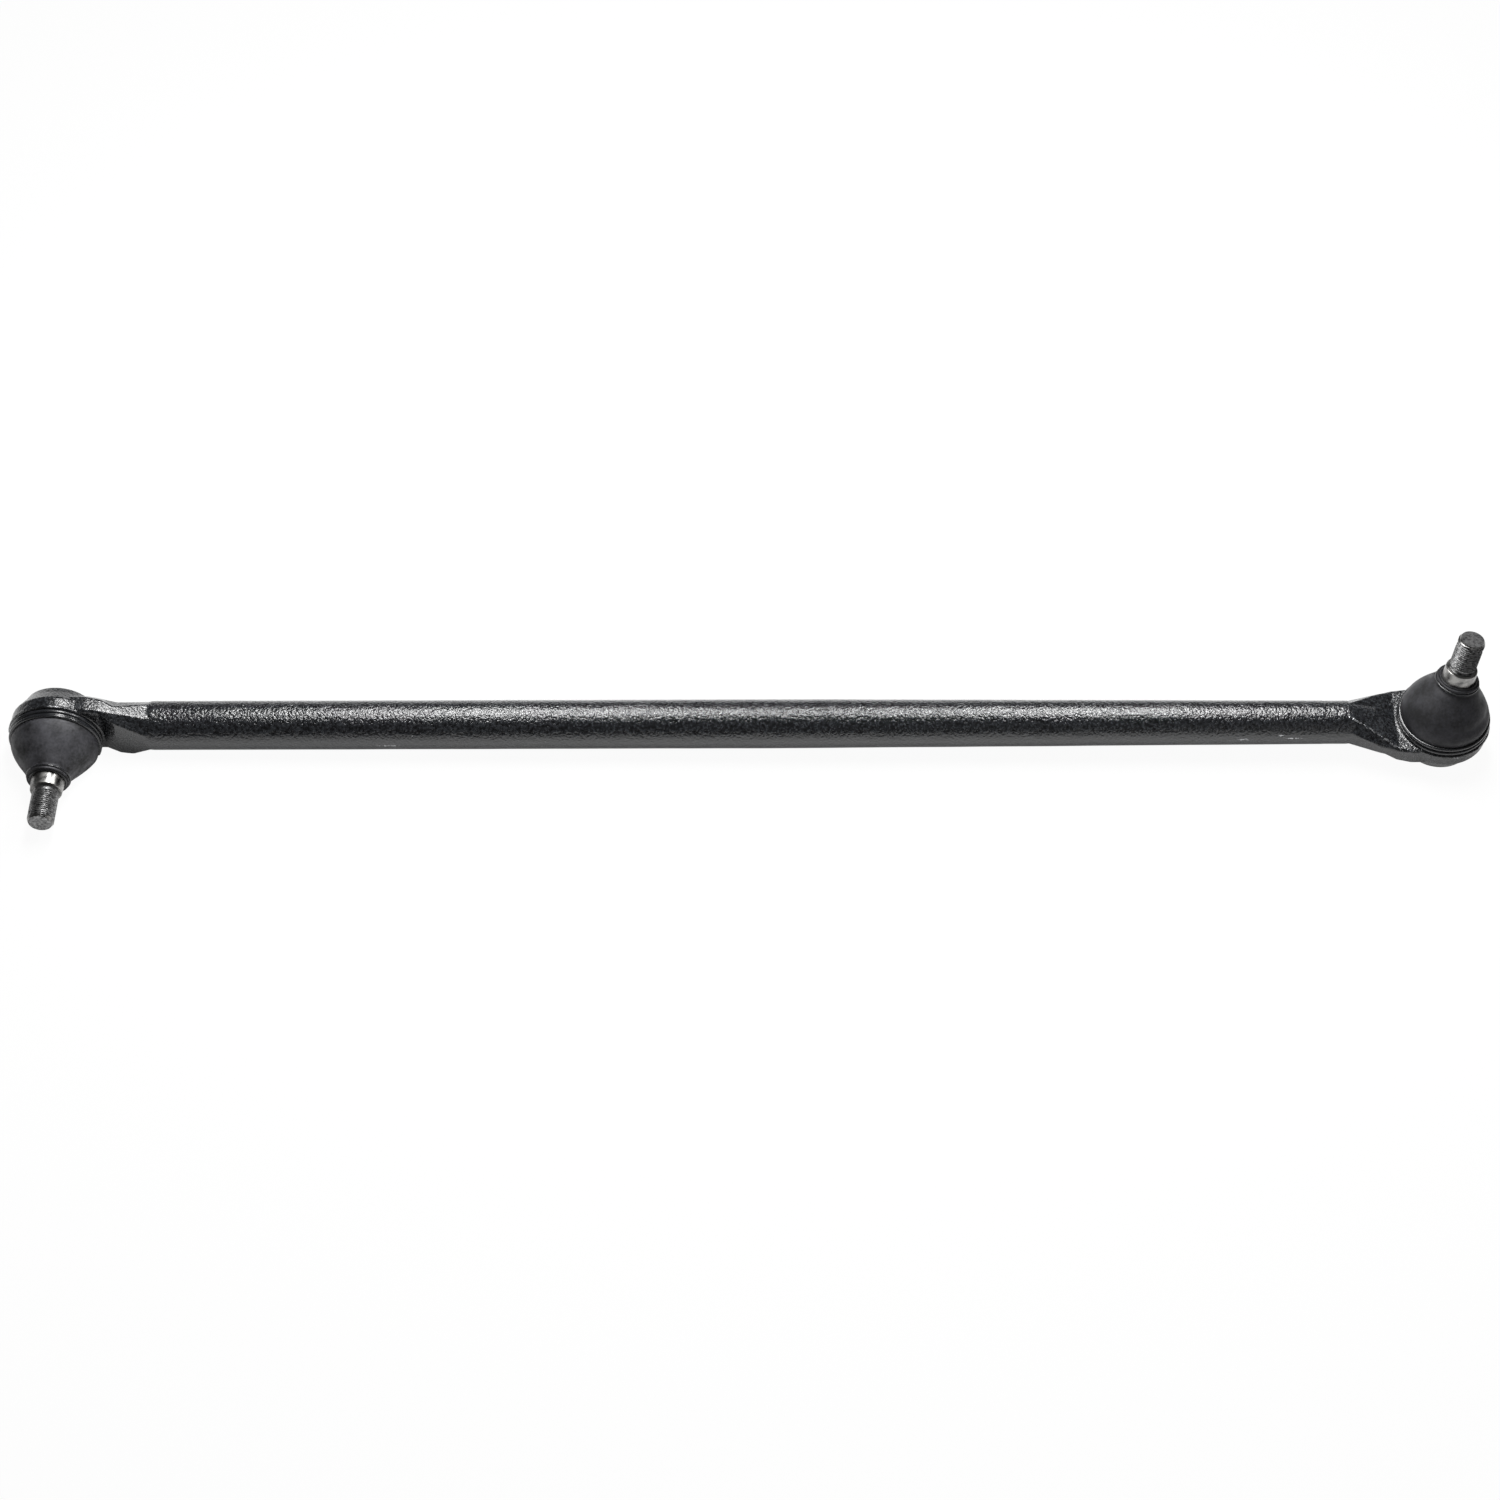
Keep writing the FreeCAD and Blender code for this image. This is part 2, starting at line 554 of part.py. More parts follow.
def boot_skin(end, name, inset):
    """A smooth body through the boot's circles, the lean taken up between the base and the neck."""
    stations = [
        (CUFF_OUTSIDE, "spigot_height + running_gap", "0"),
        ("boot_bulge_diameter / 2", "boot_bulge_height", "boot_bulge_share"),
        ("boot_shoulder_diameter / 2", "boot_shoulder_height", "boot_shoulder_share"),
        ("boot_middle_diameter / 2", "boot_middle_height", "boot_middle_share"),
        ("boot_slope_diameter / 2", "boot_slope_height", "boot_slope_share"),
        ("boot_top_diameter / 2", "boot_top_height", "boot_top_share"),
        ("boot_neck_diameter / 2", "boot_neck_start", "1"),
    ]
    rings = []
    for number, (radius, height, share) in enumerate(stations):
        rings.append(boot_ring(end, "%s_%d" % (name, number), radius + " - " + inset, height, size(share)))
    skin = doc.addObject("Part::Loft", name)
    skin.Sections = rings
    skin.Solid = True
    return skin


def sleeve(name, outer, inner, bottom, top, frame):
    """A plain tube of the boot, as a turned piece."""
    outline = [(inner, bottom), (outer, bottom), (outer, top), (inner, top)]
    return placed(turned(name, outline), frame)


TAPER_FALL = "((taper_large_diameter - taper_small_diameter) / 2 / taper_length)"


def taper_radius(height):
    """The room round the stud's taper at a height."""
    return "(taper_large_diameter / 2 - (" + height + " - taper_height) * " + TAPER_FALL + " + running_gap)"


BUSH_OUTSIDE = "(" + taper_radius("boot_neck_start") + " + bush_wall)"


def dust_boot(end):
    """Rubber boot: a cuff on the spigot, a domed wall and a neck cuff round the stud."""
    outside = boot_skin(end, end.label("boot_outside"), "0")
    inside = boot_skin(end, end.label("boot_inside"), "boot_wall")
    dome = doc.addObject("Part::Cut", end.label("boot_dome"))
    dome.Base = outside
    dome.Tool = inside
    cuff = sleeve(end.label("boot_cuff"), CUFF_OUTSIDE, CUFF_INSIDE, "shoulder_height + running_gap",
                  "spigot_height + 2 * running_gap", end.socket)
    neck_cuff = sleeve(end.label("boot_neck_cuff"), "boot_neck_diameter / 2", BUSH_OUTSIDE,
                       "boot_neck_start - running_gap", "boot_neck_end", end.stud)
    whole = doc.addObject("Part::MultiFuse", end.label("boot_whole"))
    whole.Shapes = [dome, cuff, neck_cuff]
    whole.Refine = True
    groove = doc.addObject("Part::Torus", end.label("boot_groove"))
    groove.setExpression("Radius1", cells("boot_neck_diameter / 2 - neck_ring_depth + neck_ring_radius"))
    groove.setExpression("Radius2", cells("neck_ring_radius"))
    groove.Placement = end.stud.multiply(Placement(Vector(0, 0, size("neck_ring_height")), Rotation()))
    boot = doc.addObject("Part::Cut", end.label("dust_boot"))
    boot.Base = whole
    boot.Tool = groove
    return boot


def neck_ring(end):
    """Round wire ring that squeezes the boot's neck."""
    ring = doc.addObject("Part::Torus", end.label("boot_neck_ring"))
    ring.setExpression("Radius1", cells("boot_neck_diameter / 2 - neck_ring_depth + neck_ring_radius"))
    ring.setExpression("Radius2", cells("neck_ring_radius"))
    return placed(ring, end.stud.multiply(Placement(Vector(0, 0, size("neck_ring_height")), Rotation())))


def neck_bush(end):
    """Tapered bush inside the boot's neck, in which the stud turns."""
    top = "(boot_neck_end + bush_flange)"
    outline = [
        (taper_radius("boot_neck_start"), "boot_neck_start"),
        (BUSH_OUTSIDE, "boot_neck_start"),
        (BUSH_OUTSIDE, top),
        (taper_radius(top), top),
    ]
    return placed(turned(end.label("boot_neck_bush"), outline), end.stud)


sub_parts = [forged_link()]
for end in ENDS:
    for make in (ball_stud, upper_bearing, lower_bearing, pressure_washer, preload_spring, end_cover,
                 base_ring, dust_boot, neck_ring, neck_bush):
        sub_parts.append(make(end))
doc.recompute()

faults = [item.Name for item in doc.Objects if "Invalid" in item.State or "Error" in item.State]
if faults:
    raise RuntimeError("failed objects: " + ", ".join(faults))
for piece in sub_parts:
    if piece.Shape.isNull() or not piece.Shape.isValid():
        raise RuntimeError("bad shape: " + piece.Label)

os.makedirs("parts", exist_ok=True)
for piece in sub_parts:
    piece.Shape.exportStep("parts/%s.step" % piece.Label)
    shape = piece.Shape
    print("%-24s %6.0f mm3, %d solid(s), %d faces"
          % (piece.Label, shape.Volume, len(shape.Solids), len(shape.Faces)))
for end in ENDS:
    print(end.name, "ball", [round(v, 4) for v in end.ball],
          "axis", [round(v, 6) for v in end.facing.multVec(Vector(0, 0, 1))],
          "stud", [round(v, 6) for v in end.stud.Rotation.multVec(Vector(0, 0, 1))])
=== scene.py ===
import json
import math

import bpy
import bmesh
from mathutils import Matrix, Quaternion, Vector, noise


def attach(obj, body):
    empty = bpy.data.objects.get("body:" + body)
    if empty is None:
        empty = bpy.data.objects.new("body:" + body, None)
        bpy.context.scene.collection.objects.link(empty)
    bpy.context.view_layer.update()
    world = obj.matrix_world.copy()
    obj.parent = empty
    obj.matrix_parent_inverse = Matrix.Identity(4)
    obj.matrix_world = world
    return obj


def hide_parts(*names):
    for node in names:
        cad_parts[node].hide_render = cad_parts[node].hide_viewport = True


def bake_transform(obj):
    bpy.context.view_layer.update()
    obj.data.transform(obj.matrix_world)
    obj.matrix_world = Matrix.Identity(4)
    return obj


# The looks of a steering drag link: black painted forging, rubber boots and turned ball studs.
# Lengths are in metres in the CAD frame, and the pieces' own sizes are in mm, times this.
mm = 0.001

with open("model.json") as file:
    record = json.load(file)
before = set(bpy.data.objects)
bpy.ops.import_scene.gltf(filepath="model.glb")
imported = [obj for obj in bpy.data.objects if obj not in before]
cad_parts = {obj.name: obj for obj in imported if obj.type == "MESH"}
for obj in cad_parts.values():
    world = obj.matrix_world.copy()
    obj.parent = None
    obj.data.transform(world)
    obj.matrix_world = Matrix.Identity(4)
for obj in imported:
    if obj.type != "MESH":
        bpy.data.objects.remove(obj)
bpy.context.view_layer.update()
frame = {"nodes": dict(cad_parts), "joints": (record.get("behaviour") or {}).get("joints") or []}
joints = {joint["name"]: joint for joint in frame["joints"]}


class End:
    # One end of the link, with the frames of its socket and of its leaning stud, read from the joints.
    def __init__(self, name):
        heading = joints[name + "_heading"]
        self.name = name
        self.ball = Vector(heading["pos_m"])
        self.axis = Vector(heading["axis"]).normalized()
        self.studAxis = Vector(joints[name + "_spin"]["axis"]).normalized()
        self.leanAxis = Vector(joints[name + "_lean"]["axis"]).normalized()
        self.outward = Vector((1 if name == "right" else -1, 0, 0))
        side = self.axis.cross(self.outward)
        turned = Matrix((self.outward, side, self.axis)).transposed().to_4x4()
        self.socket = Matrix.Translation(self.ball) @ turned
        self.lean = self.axis.angle(self.studAxis)
        self.stud = self.leaning(1.0)

    def leaning(self, share):
        # the socket's frame, turned about the ball by a share of the stud's lean
        turn = Quaternion(self.leanAxis, self.lean * share).to_matrix().to_4x4()
        toBall = Matrix.Translation(self.ball)
        return toBall @ turn @ toBall.inverted() @ self.socket


ends = [End("left"), End("right")]
print("frame loaded")


# Colours and shader nodes


def toLinear(hexColour):
    channels = [int(hexColour[i:i + 2], 16) / 255 for i in (1, 3, 5)]
    linear = [c / 12.92 if c <= 0.04045 else ((c + 0.055) / 1.055) ** 2.4 for c in channels]
    return (*linear, 1.0)


def addNode(tree, kind, settings=None, links=None):
    # adds one shader node, sets its sockets or properties, and links its inputs
    node = tree.nodes.new(kind)
    for name, value in (settings or {}).items():
        if isinstance(name, int) or name in node.inputs:
            node.inputs[name].default_value = value
        else:
            setattr(node, name, value)
    for name, socket in (links or {}).items():
        tree.links.new(socket, node.inputs[name])
    return node


def newMaterial(name):
    material = bpy.data.materials.new(name)
    material.use_nodes = True
    tree = material.node_tree
    tree.nodes.clear()
    return material, tree


def fillRamp(node, stops):
    # gives a Color Ramp its stops, as place and colour
    ramp = node.color_ramp
    while len(ramp.elements) < len(stops):
        ramp.elements.new(0.5)
    for element, (place, colour) in zip(ramp.elements, stops):
        element.position = place
        element.color = colour


def grey(value):
    return (value, value, value, 1.0)


# Black chassis paint, sprayed over a hot-forged skin: semi-gloss, so that lamps show as a sharp-edged band,
# with the scale of the forging breaking that band into grains, soft dents further apart, and bare steel
# where an edge was knocked, which along the right neck's ridge and strips is also a painted highlight.
forgedPaint = {
    "colours": ("#050506", "#26282b"),  # in the pits and on the crests of the grain
    # the same bare metal also paints a highlight along the right neck's ridge and the strips beside it
    "steel": "#a9aaac",  # bare metal in chips and scratches
    "grainMm": 1.6,  # forging scale under the paint
    "dentMm": 11.0,  # hammer and die marks
    "roughness": (0.15, 0.25),
    # the forged ends are smoother and duller than the rolled bar: where they begin, in metres from the bar's
    # middle, their share of the grain, and what is added to their roughness
    "endsBegin": (0.352, 0.372), "endsGrain": 0.7, "endsDuller": 0.17,
    # knocks on the bar: middle in metres, half lengths in mm
    "knocks": [((-0.631, -0.0147, 0.0187), (9.0, 1.5, 0.9)), ((-0.616, -0.0133, 0.0263), (1.0, 1.1, 0.9)),
               ((-0.1201, -0.0133, 0.0208), (5.5, 1.5, 0.9)), ((-0.091, -0.013, 0.0215), (6.5, 1.4, 0.7)),
               ((-0.098, -0.0128, 0.0238), (2.0, 1.4, 0.7))],
}


def addKnock(tree, place, middle, reach):
    # 1 inside a small flattened ball, fading to 0 at its outside
    scale = [1 / (size * mm) for size in reach]
    moved = addNode(tree, "ShaderNodeVectorMath", {"operation": "SUBTRACT", 1: middle}, {0: place})
    scaled = addNode(tree, "ShaderNodeVectorMath", {"operation": "MULTIPLY", 1: scale}, {0: moved.outputs[0]})
    length = addNode(tree, "ShaderNodeVectorMath", {"operation": "LENGTH"}, {0: scaled.outputs[0]})
    return addNode(tree, "ShaderNodeMapRange", {"From Min": 0.5, "From Max": 1.2, "To Min": 0.75, "To Max": 0.0},
                   {"Value": length.outputs["Value"]}).outputs[0]


def makeForgedPaint():
    material, tree = newMaterial("semiGlossBlackPaintOnForging")
    place = addNode(tree, "ShaderNodeTexCoord").outputs["Object"]
    grain = addNode(tree, "ShaderNodeTexNoise", {"Scale": 1 / (forgedPaint["grainMm"] * mm), "Detail": 2.0,
                                                 "Roughness": 0.55}, {"Vector": place})
    dents = addNode(tree, "ShaderNodeTexNoise", {"Scale": 1 / (forgedPaint["dentMm"] * mm), "Detail": 2.0},
                    {"Vector": place})
    tone = addNode(tree, "ShaderNodeValToRGB", links={"Fac": grain.outputs["Fac"]})
    fillRamp(tone, [(0.36, toLinear(forgedPaint["colours"][0])), (0.68, toLinear(forgedPaint["colours"][1]))])
    wearAndGlints = addNode(tree, "ShaderNodeAttribute", {"attribute_name": "wearAndGlints"}).outputs["Fac"]
    for middle, reach in forgedPaint["knocks"]:
        knock = addKnock(tree, place, middle, reach)
        wearAndGlints = addNode(tree, "ShaderNodeMath", {"operation": "MAXIMUM"}, {0: wearAndGlints, 1: knock}).outputs[0]
    # the outline of the knocked spots and the painted highlight is broken up by a fine noise before it turns paint into
    # bare steel
    ragged = addNode(tree, "ShaderNodeTexNoise", {"Scale": 1 / (1.1 * mm), "Detail": 2.0}, {"Vector": place})
    edge = addNode(tree, "ShaderNodeMath", {"operation": "SUBTRACT", 1: 0.5}, {0: ragged.outputs["Fac"]})
    spread = addNode(tree, "ShaderNodeMath", {"operation": "MULTIPLY_ADD", 1: 2.2}, {0: edge.outputs[0], 2: wearAndGlints})
    bareSteelAndGlint = addNode(tree, "ShaderNodeMapRange", {"From Min": 0.62, "From Max": 0.8, "To Max": 0.8},
                   {"Value": spread.outputs[0]})
    colour = addNode(tree, "ShaderNodeMix", {"data_type": "RGBA", 7: toLinear(forgedPaint["steel"])},
                     {0: bareSteelAndGlint.outputs[0], 6: tone.outputs["Color"]})
    alongBar = addNode(tree, "ShaderNodeSeparateXYZ", links={0: place}).outputs["X"]
    fromMiddle = addNode(tree, "ShaderNodeMath", {"operation": "SUBTRACT", 1: ends[0].ball.x / 2}, {0: alongBar})
    distance = addNode(tree, "ShaderNodeMath", {"operation": "ABSOLUTE"}, {0: fromMiddle.outputs[0]})
    first, last = forgedPaint["endsBegin"]
    share = addNode(tree, "ShaderNodeMapRange", {"From Min": first, "From Max": last, "To Min": 1.0,
                                                 "To Max": forgedPaint["endsGrain"]}, {"Value": distance.outputs[0]})
    height = addNode(tree, "ShaderNodeMath", {"operation": "MULTIPLY"},
                     {0: grain.outputs["Fac"], 1: share.outputs[0]})
    thin, thick = forgedPaint["roughness"]
    gloss = addNode(tree, "ShaderNodeMapRange", {"From Min": 0.3, "From Max": 0.7, "To Min": thin, "To Max": thick},
                    {"Value": grain.outputs["Fac"]})
    dull = addNode(tree, "ShaderNodeMapRange", {"To Min": forgedPaint["endsDuller"], "To Max": 0.0},
                   {"Value": share.outputs[0]})
    rough = addNode(tree, "ShaderNodeMath", {"operation": "ADD"}, {0: gloss.outputs[0], 1: dull.outputs[0]})
    bumps = addNode(tree, "ShaderNodeBump", {"Strength": 0.9, "Distance": 0.62 * mm}, {"Height": height.outputs[0]})
    waves = addNode(tree, "ShaderNodeBump", {"Strength": 0.4, "Distance": 1.0 * mm},
                    {"Height": dents.outputs["Fac"], "Normal": bumps.outputs["Normal"]})
    shader = addNode(tree, "ShaderNodeBsdfPrincipled", {"IOR": 1.55},
                     {"Base Color": colour.outputs[2], "Roughness": rough.outputs[0], "Metallic": bareSteelAndGlint.outputs[0],
                      "Normal": waves.outputs["Normal"]})
    addNode(tree, "ShaderNodeOutputMaterial", links={"Surface": shader.outputs["BSDF"]})
    return material


# The same paint on smooth pressed steel: the beaded ring, the wire ring and the end cover.
sheetPaint = {"colours": ("#121315", "#1c1d20"), "peelMm": 1.3, "patchMm": 7.0, "roughness": (0.2, 0.32)}


def makeSheetPaint():
    material, tree = newMaterial("blackPaintOnPressedSteel")
    place = addNode(tree, "ShaderNodeTexCoord").outputs["Object"]
    patches = addNode(tree, "ShaderNodeTexNoise", {"Scale": 1 / (sheetPaint["patchMm"] * mm), "Detail": 3.0},
                      {"Vector": place})
    peel = addNode(tree, "ShaderNodeTexNoise", {"Scale": 1 / (sheetPaint["peelMm"] * mm), "Detail": 2.0},
                   {"Vector": place})
    tone = addNode(tree, "ShaderNodeValToRGB", links={"Fac": patches.outputs["Fac"]})
    fillRamp(tone, [(0.35, toLinear(sheetPaint["colours"][0])), (0.7, toLinear(sheetPaint["colours"][1]))])
    glossy, dull = sheetPaint["roughness"]
    gloss = addNode(tree, "ShaderNodeMapRange", {"From Min": 0.3, "From Max": 0.7, "To Min": glossy, "To Max": dull},
                    {"Value": patches.outputs["Fac"]})
    bumps = addNode(tree, "ShaderNodeBump", {"Strength": 0.25, "Distance": 0.15 * mm},
                    {"Height": peel.outputs["Fac"]})
    shader = addNode(tree, "ShaderNodeBsdfPrincipled", {"IOR": 1.5},
                     {"Base Color": tone.outputs["Color"], "Roughness": gloss.outputs[0],
                      "Normal": bumps.outputs["Normal"]})
    addNode(tree, "ShaderNodeOutputMaterial", links={"Surface": shader.outputs["BSDF"]})
    return material


# Moulded neoprene: matte black with a greyish bloom of talc and handling in broad soft patches,
# and painted sheen: a lighter spot on each boot, and the left boot painted lighter where the light falls.
bootRubber = {
    # the left boot's colours are the same rubber painted lighter, as painted light where that boot faces the light
    "colours": {"left": ("#050506", "#424246"), "right": ("#08080a", "#2a2a2e")},  # clean and bloomed, by end
    "bloomMm": 9.0, "grainMm": 1.5, "grainShare": 0.55, "patchShare": 0.22, "roughness": (0.5, 0.7),
    # painted sheen, a lighter spot where the light falls on each boot: middle in metres and reach in metres
    "patches": {"left": ((-0.827, -0.0255, 0.0425), 0.021), "right": ((0.021, -0.016, 0.0375), 0.012)},
}


def makeRubber(end):
    material, tree = newMaterial("mouldedBlackRubber" + end.name.capitalize())
    place = addNode(tree, "ShaderNodeTexCoord").outputs["Object"]
    bloom = addNode(tree, "ShaderNodeTexNoise", {"Scale": 1 / (bootRubber["bloomMm"] * mm), "Detail": 4.0},
                    {"Vector": place})
    grain = addNode(tree, "ShaderNodeTexNoise", {"Scale": 1 / (bootRubber["grainMm"] * mm), "Detail": 2.0},
                    {"Vector": place})
    tone = addNode(tree, "ShaderNodeValToRGB", links={"Fac": bloom.outputs["Fac"]})
    clean, bloomedAndLit = bootRubber["colours"][end.name]
    fillRamp(tone, [(0.3, toLinear(clean)), (0.85, toLinear(bloomedAndLit))])
    middle, reach = bootRubber["patches"][end.name]
    away = addNode(tree, "ShaderNodeVectorMath", {"operation": "DISTANCE", 1: middle}, {0: place})
    paintedSheen = addNode(tree, "ShaderNodeMapRange", {"From Min": 0.0, "From Max": reach, "To Max": 0.0,
                                                 "To Min": bootRubber["patchShare"]},
                    {"Value": away.outputs["Value"]})
    # bloom, painted sheen and grain add up, less the grain's own middle
    broad = addNode(tree, "ShaderNodeMath", {"operation": "ADD"}, {0: bloom.outputs["Fac"], 1: paintedSheen.outputs[0]})
    grainy = addNode(tree, "ShaderNodeMath", {"operation": "MULTIPLY_ADD", 1: bootRubber["grainShare"]},
                     {0: grain.outputs["Fac"], 2: broad.outputs[0]})
    total = addNode(tree, "ShaderNodeMath", {"operation": "SUBTRACT", 1: bootRubber["grainShare"] / 2},
                    {0: grainy.outputs[0]})
    tree.links.new(total.outputs[0], tone.inputs["Fac"])
    smooth, rough = bootRubber["roughness"]
    dull = addNode(tree, "ShaderNodeMapRange", {"From Min": 0.3, "From Max": 0.7, "To Min": rough, "To Max": smooth},
                   {"Value": bloom.outputs["Fac"]})
    bumps = addNode(tree, "ShaderNodeBump", {"Strength": 0.3, "Distance": 0.12 * mm},
                    {"Height": grain.outputs["Fac"]})
    shader = addNode(tree, "ShaderNodeBsdfPrincipled", {"IOR": 1.5, "Specular IOR Level": 0.3},
                     {"Base Color": tone.outputs["Color"], "Roughness": dull.outputs[0],
                      "Normal": bumps.outputs["Normal"]})
    addNode(tree, "ShaderNodeOutputMaterial", links={"Surface": shader.outputs["BSDF"]})
    return material


# Carbon steel off the lathe: the taper is bright with fine rings, the thread and the end face are dulled grey
# by a phosphate bath, and the crests and chamfer are rubbed bright again.
turnedSteel = {"colours": ("#454545", "#8b8a88"), "ringMm": 0.35, "roughness": (0.24, 0.4)}
phosphate = {"colours": ("#18181a", "#949494"), "spotMm": 1.7, "roughness": (0.34, 0.5)}


def makeTurnedSteel(end):
    material, tree = newMaterial("brightTurnedSteel" + end.name.capitalize())
    place = addNode(tree, "ShaderNodeTexCoord").outputs["Object"]
    upright = end.stud.inverted()
    settings = {"vector_type": "POINT", "Location": upright.to_translation(), "Rotation": upright.to_euler()}
    own = addNode(tree, "ShaderNodeMapping", settings, {"Vector": place}).outputs["Vector"]
    waveScale = 0.314 / (turnedSteel["ringMm"] * mm) / 2
    rings = addNode(tree, "ShaderNodeTexWave", {"wave_type": "BANDS", "bands_direction": "Z", "Scale": waveScale,
                                                "Distortion": 0.4, "Detail": 1.0}, {"Vector": own})
    smears = addNode(tree, "ShaderNodeTexNoise", {"Scale": 1 / (4.0 * mm), "Detail": 3.0}, {"Vector": own})
    glossy, dull = turnedSteel["roughness"]
    gloss = addNode(tree, "ShaderNodeMapRange", {"From Min": 0.3, "From Max": 0.7, "To Min": glossy, "To Max": dull},
                    {"Value": smears.outputs["Fac"]})
    tone = addNode(tree, "ShaderNodeValToRGB", links={"Fac": smears.outputs["Fac"]})
    fillRamp(tone, [(0.3, toLinear(turnedSteel["colours"][0])), (0.6, toLinear(turnedSteel["colours"][1]))])
    bumps = addNode(tree, "ShaderNodeBump", {"Strength": 0.12, "Distance": 0.03 * mm},
                    {"Height": rings.outputs["Fac"]})
    shader = addNode(tree, "ShaderNodeBsdfPrincipled", {"Metallic": 1.0, "Anisotropic": 0.4},
                     {"Base Color": tone.outputs["Color"], "Roughness": gloss.outputs[0],
                      "Normal": bumps.outputs["Normal"]})
    addNode(tree, "ShaderNodeOutputMaterial", links={"Surface": shader.outputs["BSDF"]})
    return material


def makePhosphate():
    material, tree = newMaterial("greyPhosphatedSteel")
    place = addNode(tree, "ShaderNodeTexCoord").outputs["Object"]
    spots = addNode(tree, "ShaderNodeTexNoise", {"Scale": 1 / (phosphate["spotMm"] * mm), "Detail": 3.0,
                                                 "Roughness": 0.65}, {"Vector": place})
    tone = addNode(tree, "ShaderNodeValToRGB", links={"Fac": spots.outputs["Fac"]})
    fillRamp(tone, [(0.3, toLinear(phosphate["colours"][0])), (0.7, toLinear(phosphate["colours"][1]))])
    glossy, dull = phosphate["roughness"]
    gloss = addNode(tree, "ShaderNodeMapRange", {"From Min": 0.3, "From Max": 0.7, "To Min": dull, "To Max": glossy},
                    {"Value": spots.outputs["Fac"]})
    bumps = addNode(tree, "ShaderNodeBump", {"Strength": 0.35, "Distance": 0.12 * mm},
                    {"Height": spots.outputs["Fac"]})
    shader = addNode(tree, "ShaderNodeBsdfPrincipled", {"Metallic": 0.9},
                     {"Base Color": tone.outputs["Color"], "Roughness": gloss.outputs[0],
                      "Normal": bumps.outputs["Normal"]})
    addNode(tree, "ShaderNodeOutputMaterial", links={"Surface": shader.outputs["BSDF"]})
    return material


# Hidden pieces: oiled hardened steel, oil-soaked sintered iron with its fine pores, and moulded nylon.
def makePlainFinish(name, colours, metallic, roughness, grainMm):
    material, tree = newMaterial(name)
    place = addNode(tree, "ShaderNodeTexCoord").outputs["Object"]
    grain = addNode(tree, "ShaderNodeTexNoise", {"Scale": 1 / (grainMm * mm), "Detail": 3.0}, {"Vector": place})
    tone = addNode(tree, "ShaderNodeValToRGB", links={"Fac": grain.outputs["Fac"]})
    fillRamp(tone, [(0.35, toLinear(colours[0])), (0.65, toLinear(colours[1]))])
    gloss = addNode(tree, "ShaderNodeMapRange", {"To Min": roughness[0], "To Max": roughness[1]},
                    {"Value": grain.outputs["Fac"]})
    bumps = addNode(tree, "ShaderNodeBump", {"Strength": 0.2, "Distance": 0.08 * mm}, {"Height": grain.outputs["Fac"]})
    shader = addNode(tree, "ShaderNodeBsdfPrincipled", {"Metallic": metallic},
                     {"Base Color": tone.outputs["Color"], "Roughness": gloss.outputs[0],
                      "Normal": bumps.outputs["Normal"]})
    addNode(tree, "ShaderNodeOutputMaterial", links={"Surface": shader.outputs["BSDF"]})
    return material


paintOnForging = makeForgedPaint()
paintOnSheet = makeSheetPaint()
greySteel = makePhosphate()
hardenedSteel = makePlainFinish("oiledHardenedSteel", ("#55565a", "#7d7e80"), 1.0, (0.3, 0.45), 1.2)
sinteredIron = makePlainFinish("oilSoakedSinteredIron", ("#4b4743", "#77726b"), 0.9, (0.45, 0.65), 0.6)
nylon = makePlainFinish("mouldedBlackNylon", ("#141416", "#1e1e21"), 0.0, (0.35, 0.5), 0.9)
print("materials made")


# Modelling helpers


def deselectAll():
    if bpy.context.object and bpy.context.object.mode != "OBJECT":
        bpy.ops.object.mode_set(mode="OBJECT")
    bpy.ops.object.select_all(action="DESELECT")


def pick(obj):
    deselectAll()
    obj.select_set(True)
    bpy.context.view_layer.objects.active = obj


def applyModifier(obj, kind, **settings):
    pick(obj)
    modifier = obj.modifiers.new(kind.lower(), kind)
    for name, value in settings.items():
        setattr(modifier, name, value)
    bpy.ops.object.modifier_apply(modifier=modifier.name)


def joinPieces(pieces):
    deselectAll()
    for piece in pieces:
        piece.select_set(True)
    bpy.context.view_layer.objects.active = pieces[0]
    bpy.ops.object.join()
    return pieces[0]


def lathe(name, section, steps):
    # one point is drawn out along the section (radius, height in mm) and the line is spun round Z
    places = [Vector((radius * mm, 0, height * mm)) for radius, height in section]
    deselectAll()
    bpy.ops.mesh.primitive_plane_add(size=mm, location=places[0])
    obj = bpy.context.object
    obj.name = name
    bpy.ops.object.transform_apply(location=True)
    bpy.ops.object.mode_set(mode="EDIT")
    bpy.ops.mesh.select_all(action="SELECT")
    bpy.ops.mesh.merge(type="CENTER")
    for here, there in zip(places, places[1:]):
        bpy.ops.mesh.extrude_region_move(TRANSFORM_OT_translate={"value": there - here})
    bpy.ops.mesh.select_all(action="SELECT")
    bpy.ops.mesh.spin(steps=steps, angle=2 * math.pi, center=(0, 0, 0), axis=(0, 0, 1))
    bpy.ops.mesh.select_all(action="SELECT")
    bpy.ops.mesh.remove_doubles(threshold=0.001 * mm)
    bpy.ops.mesh.normals_make_consistent(inside=False)
    bpy.ops.object.mode_set(mode="OBJECT")
    return obj


def roundedSection(corners):
    # a section whose corners (radius, height, rounding) are cut by short arcs of five points
    section = []
    count = len(corners)
    for number, (radius, height, rounding) in enumerate(corners):
        here = Vector((radius, height))
        if not rounding or number in (0, count - 1):
            section.append((radius, height))
            continue
        before = Vector(corners[number - 1][:2]) - here
        after = Vector(corners[number + 1][:2]) - here
        reach = min(rounding, before.length * 0.49, after.length * 0.49)
        start = here + before.normalized() * reach
        finish = here + after.normalized() * reach
        for step in range(5):
            t = step / 4
            point = start * (1 - t) ** 2 + here * 2 * t * (1 - t) + finish * t ** 2
            section.append((point.x, point.y))
    return section


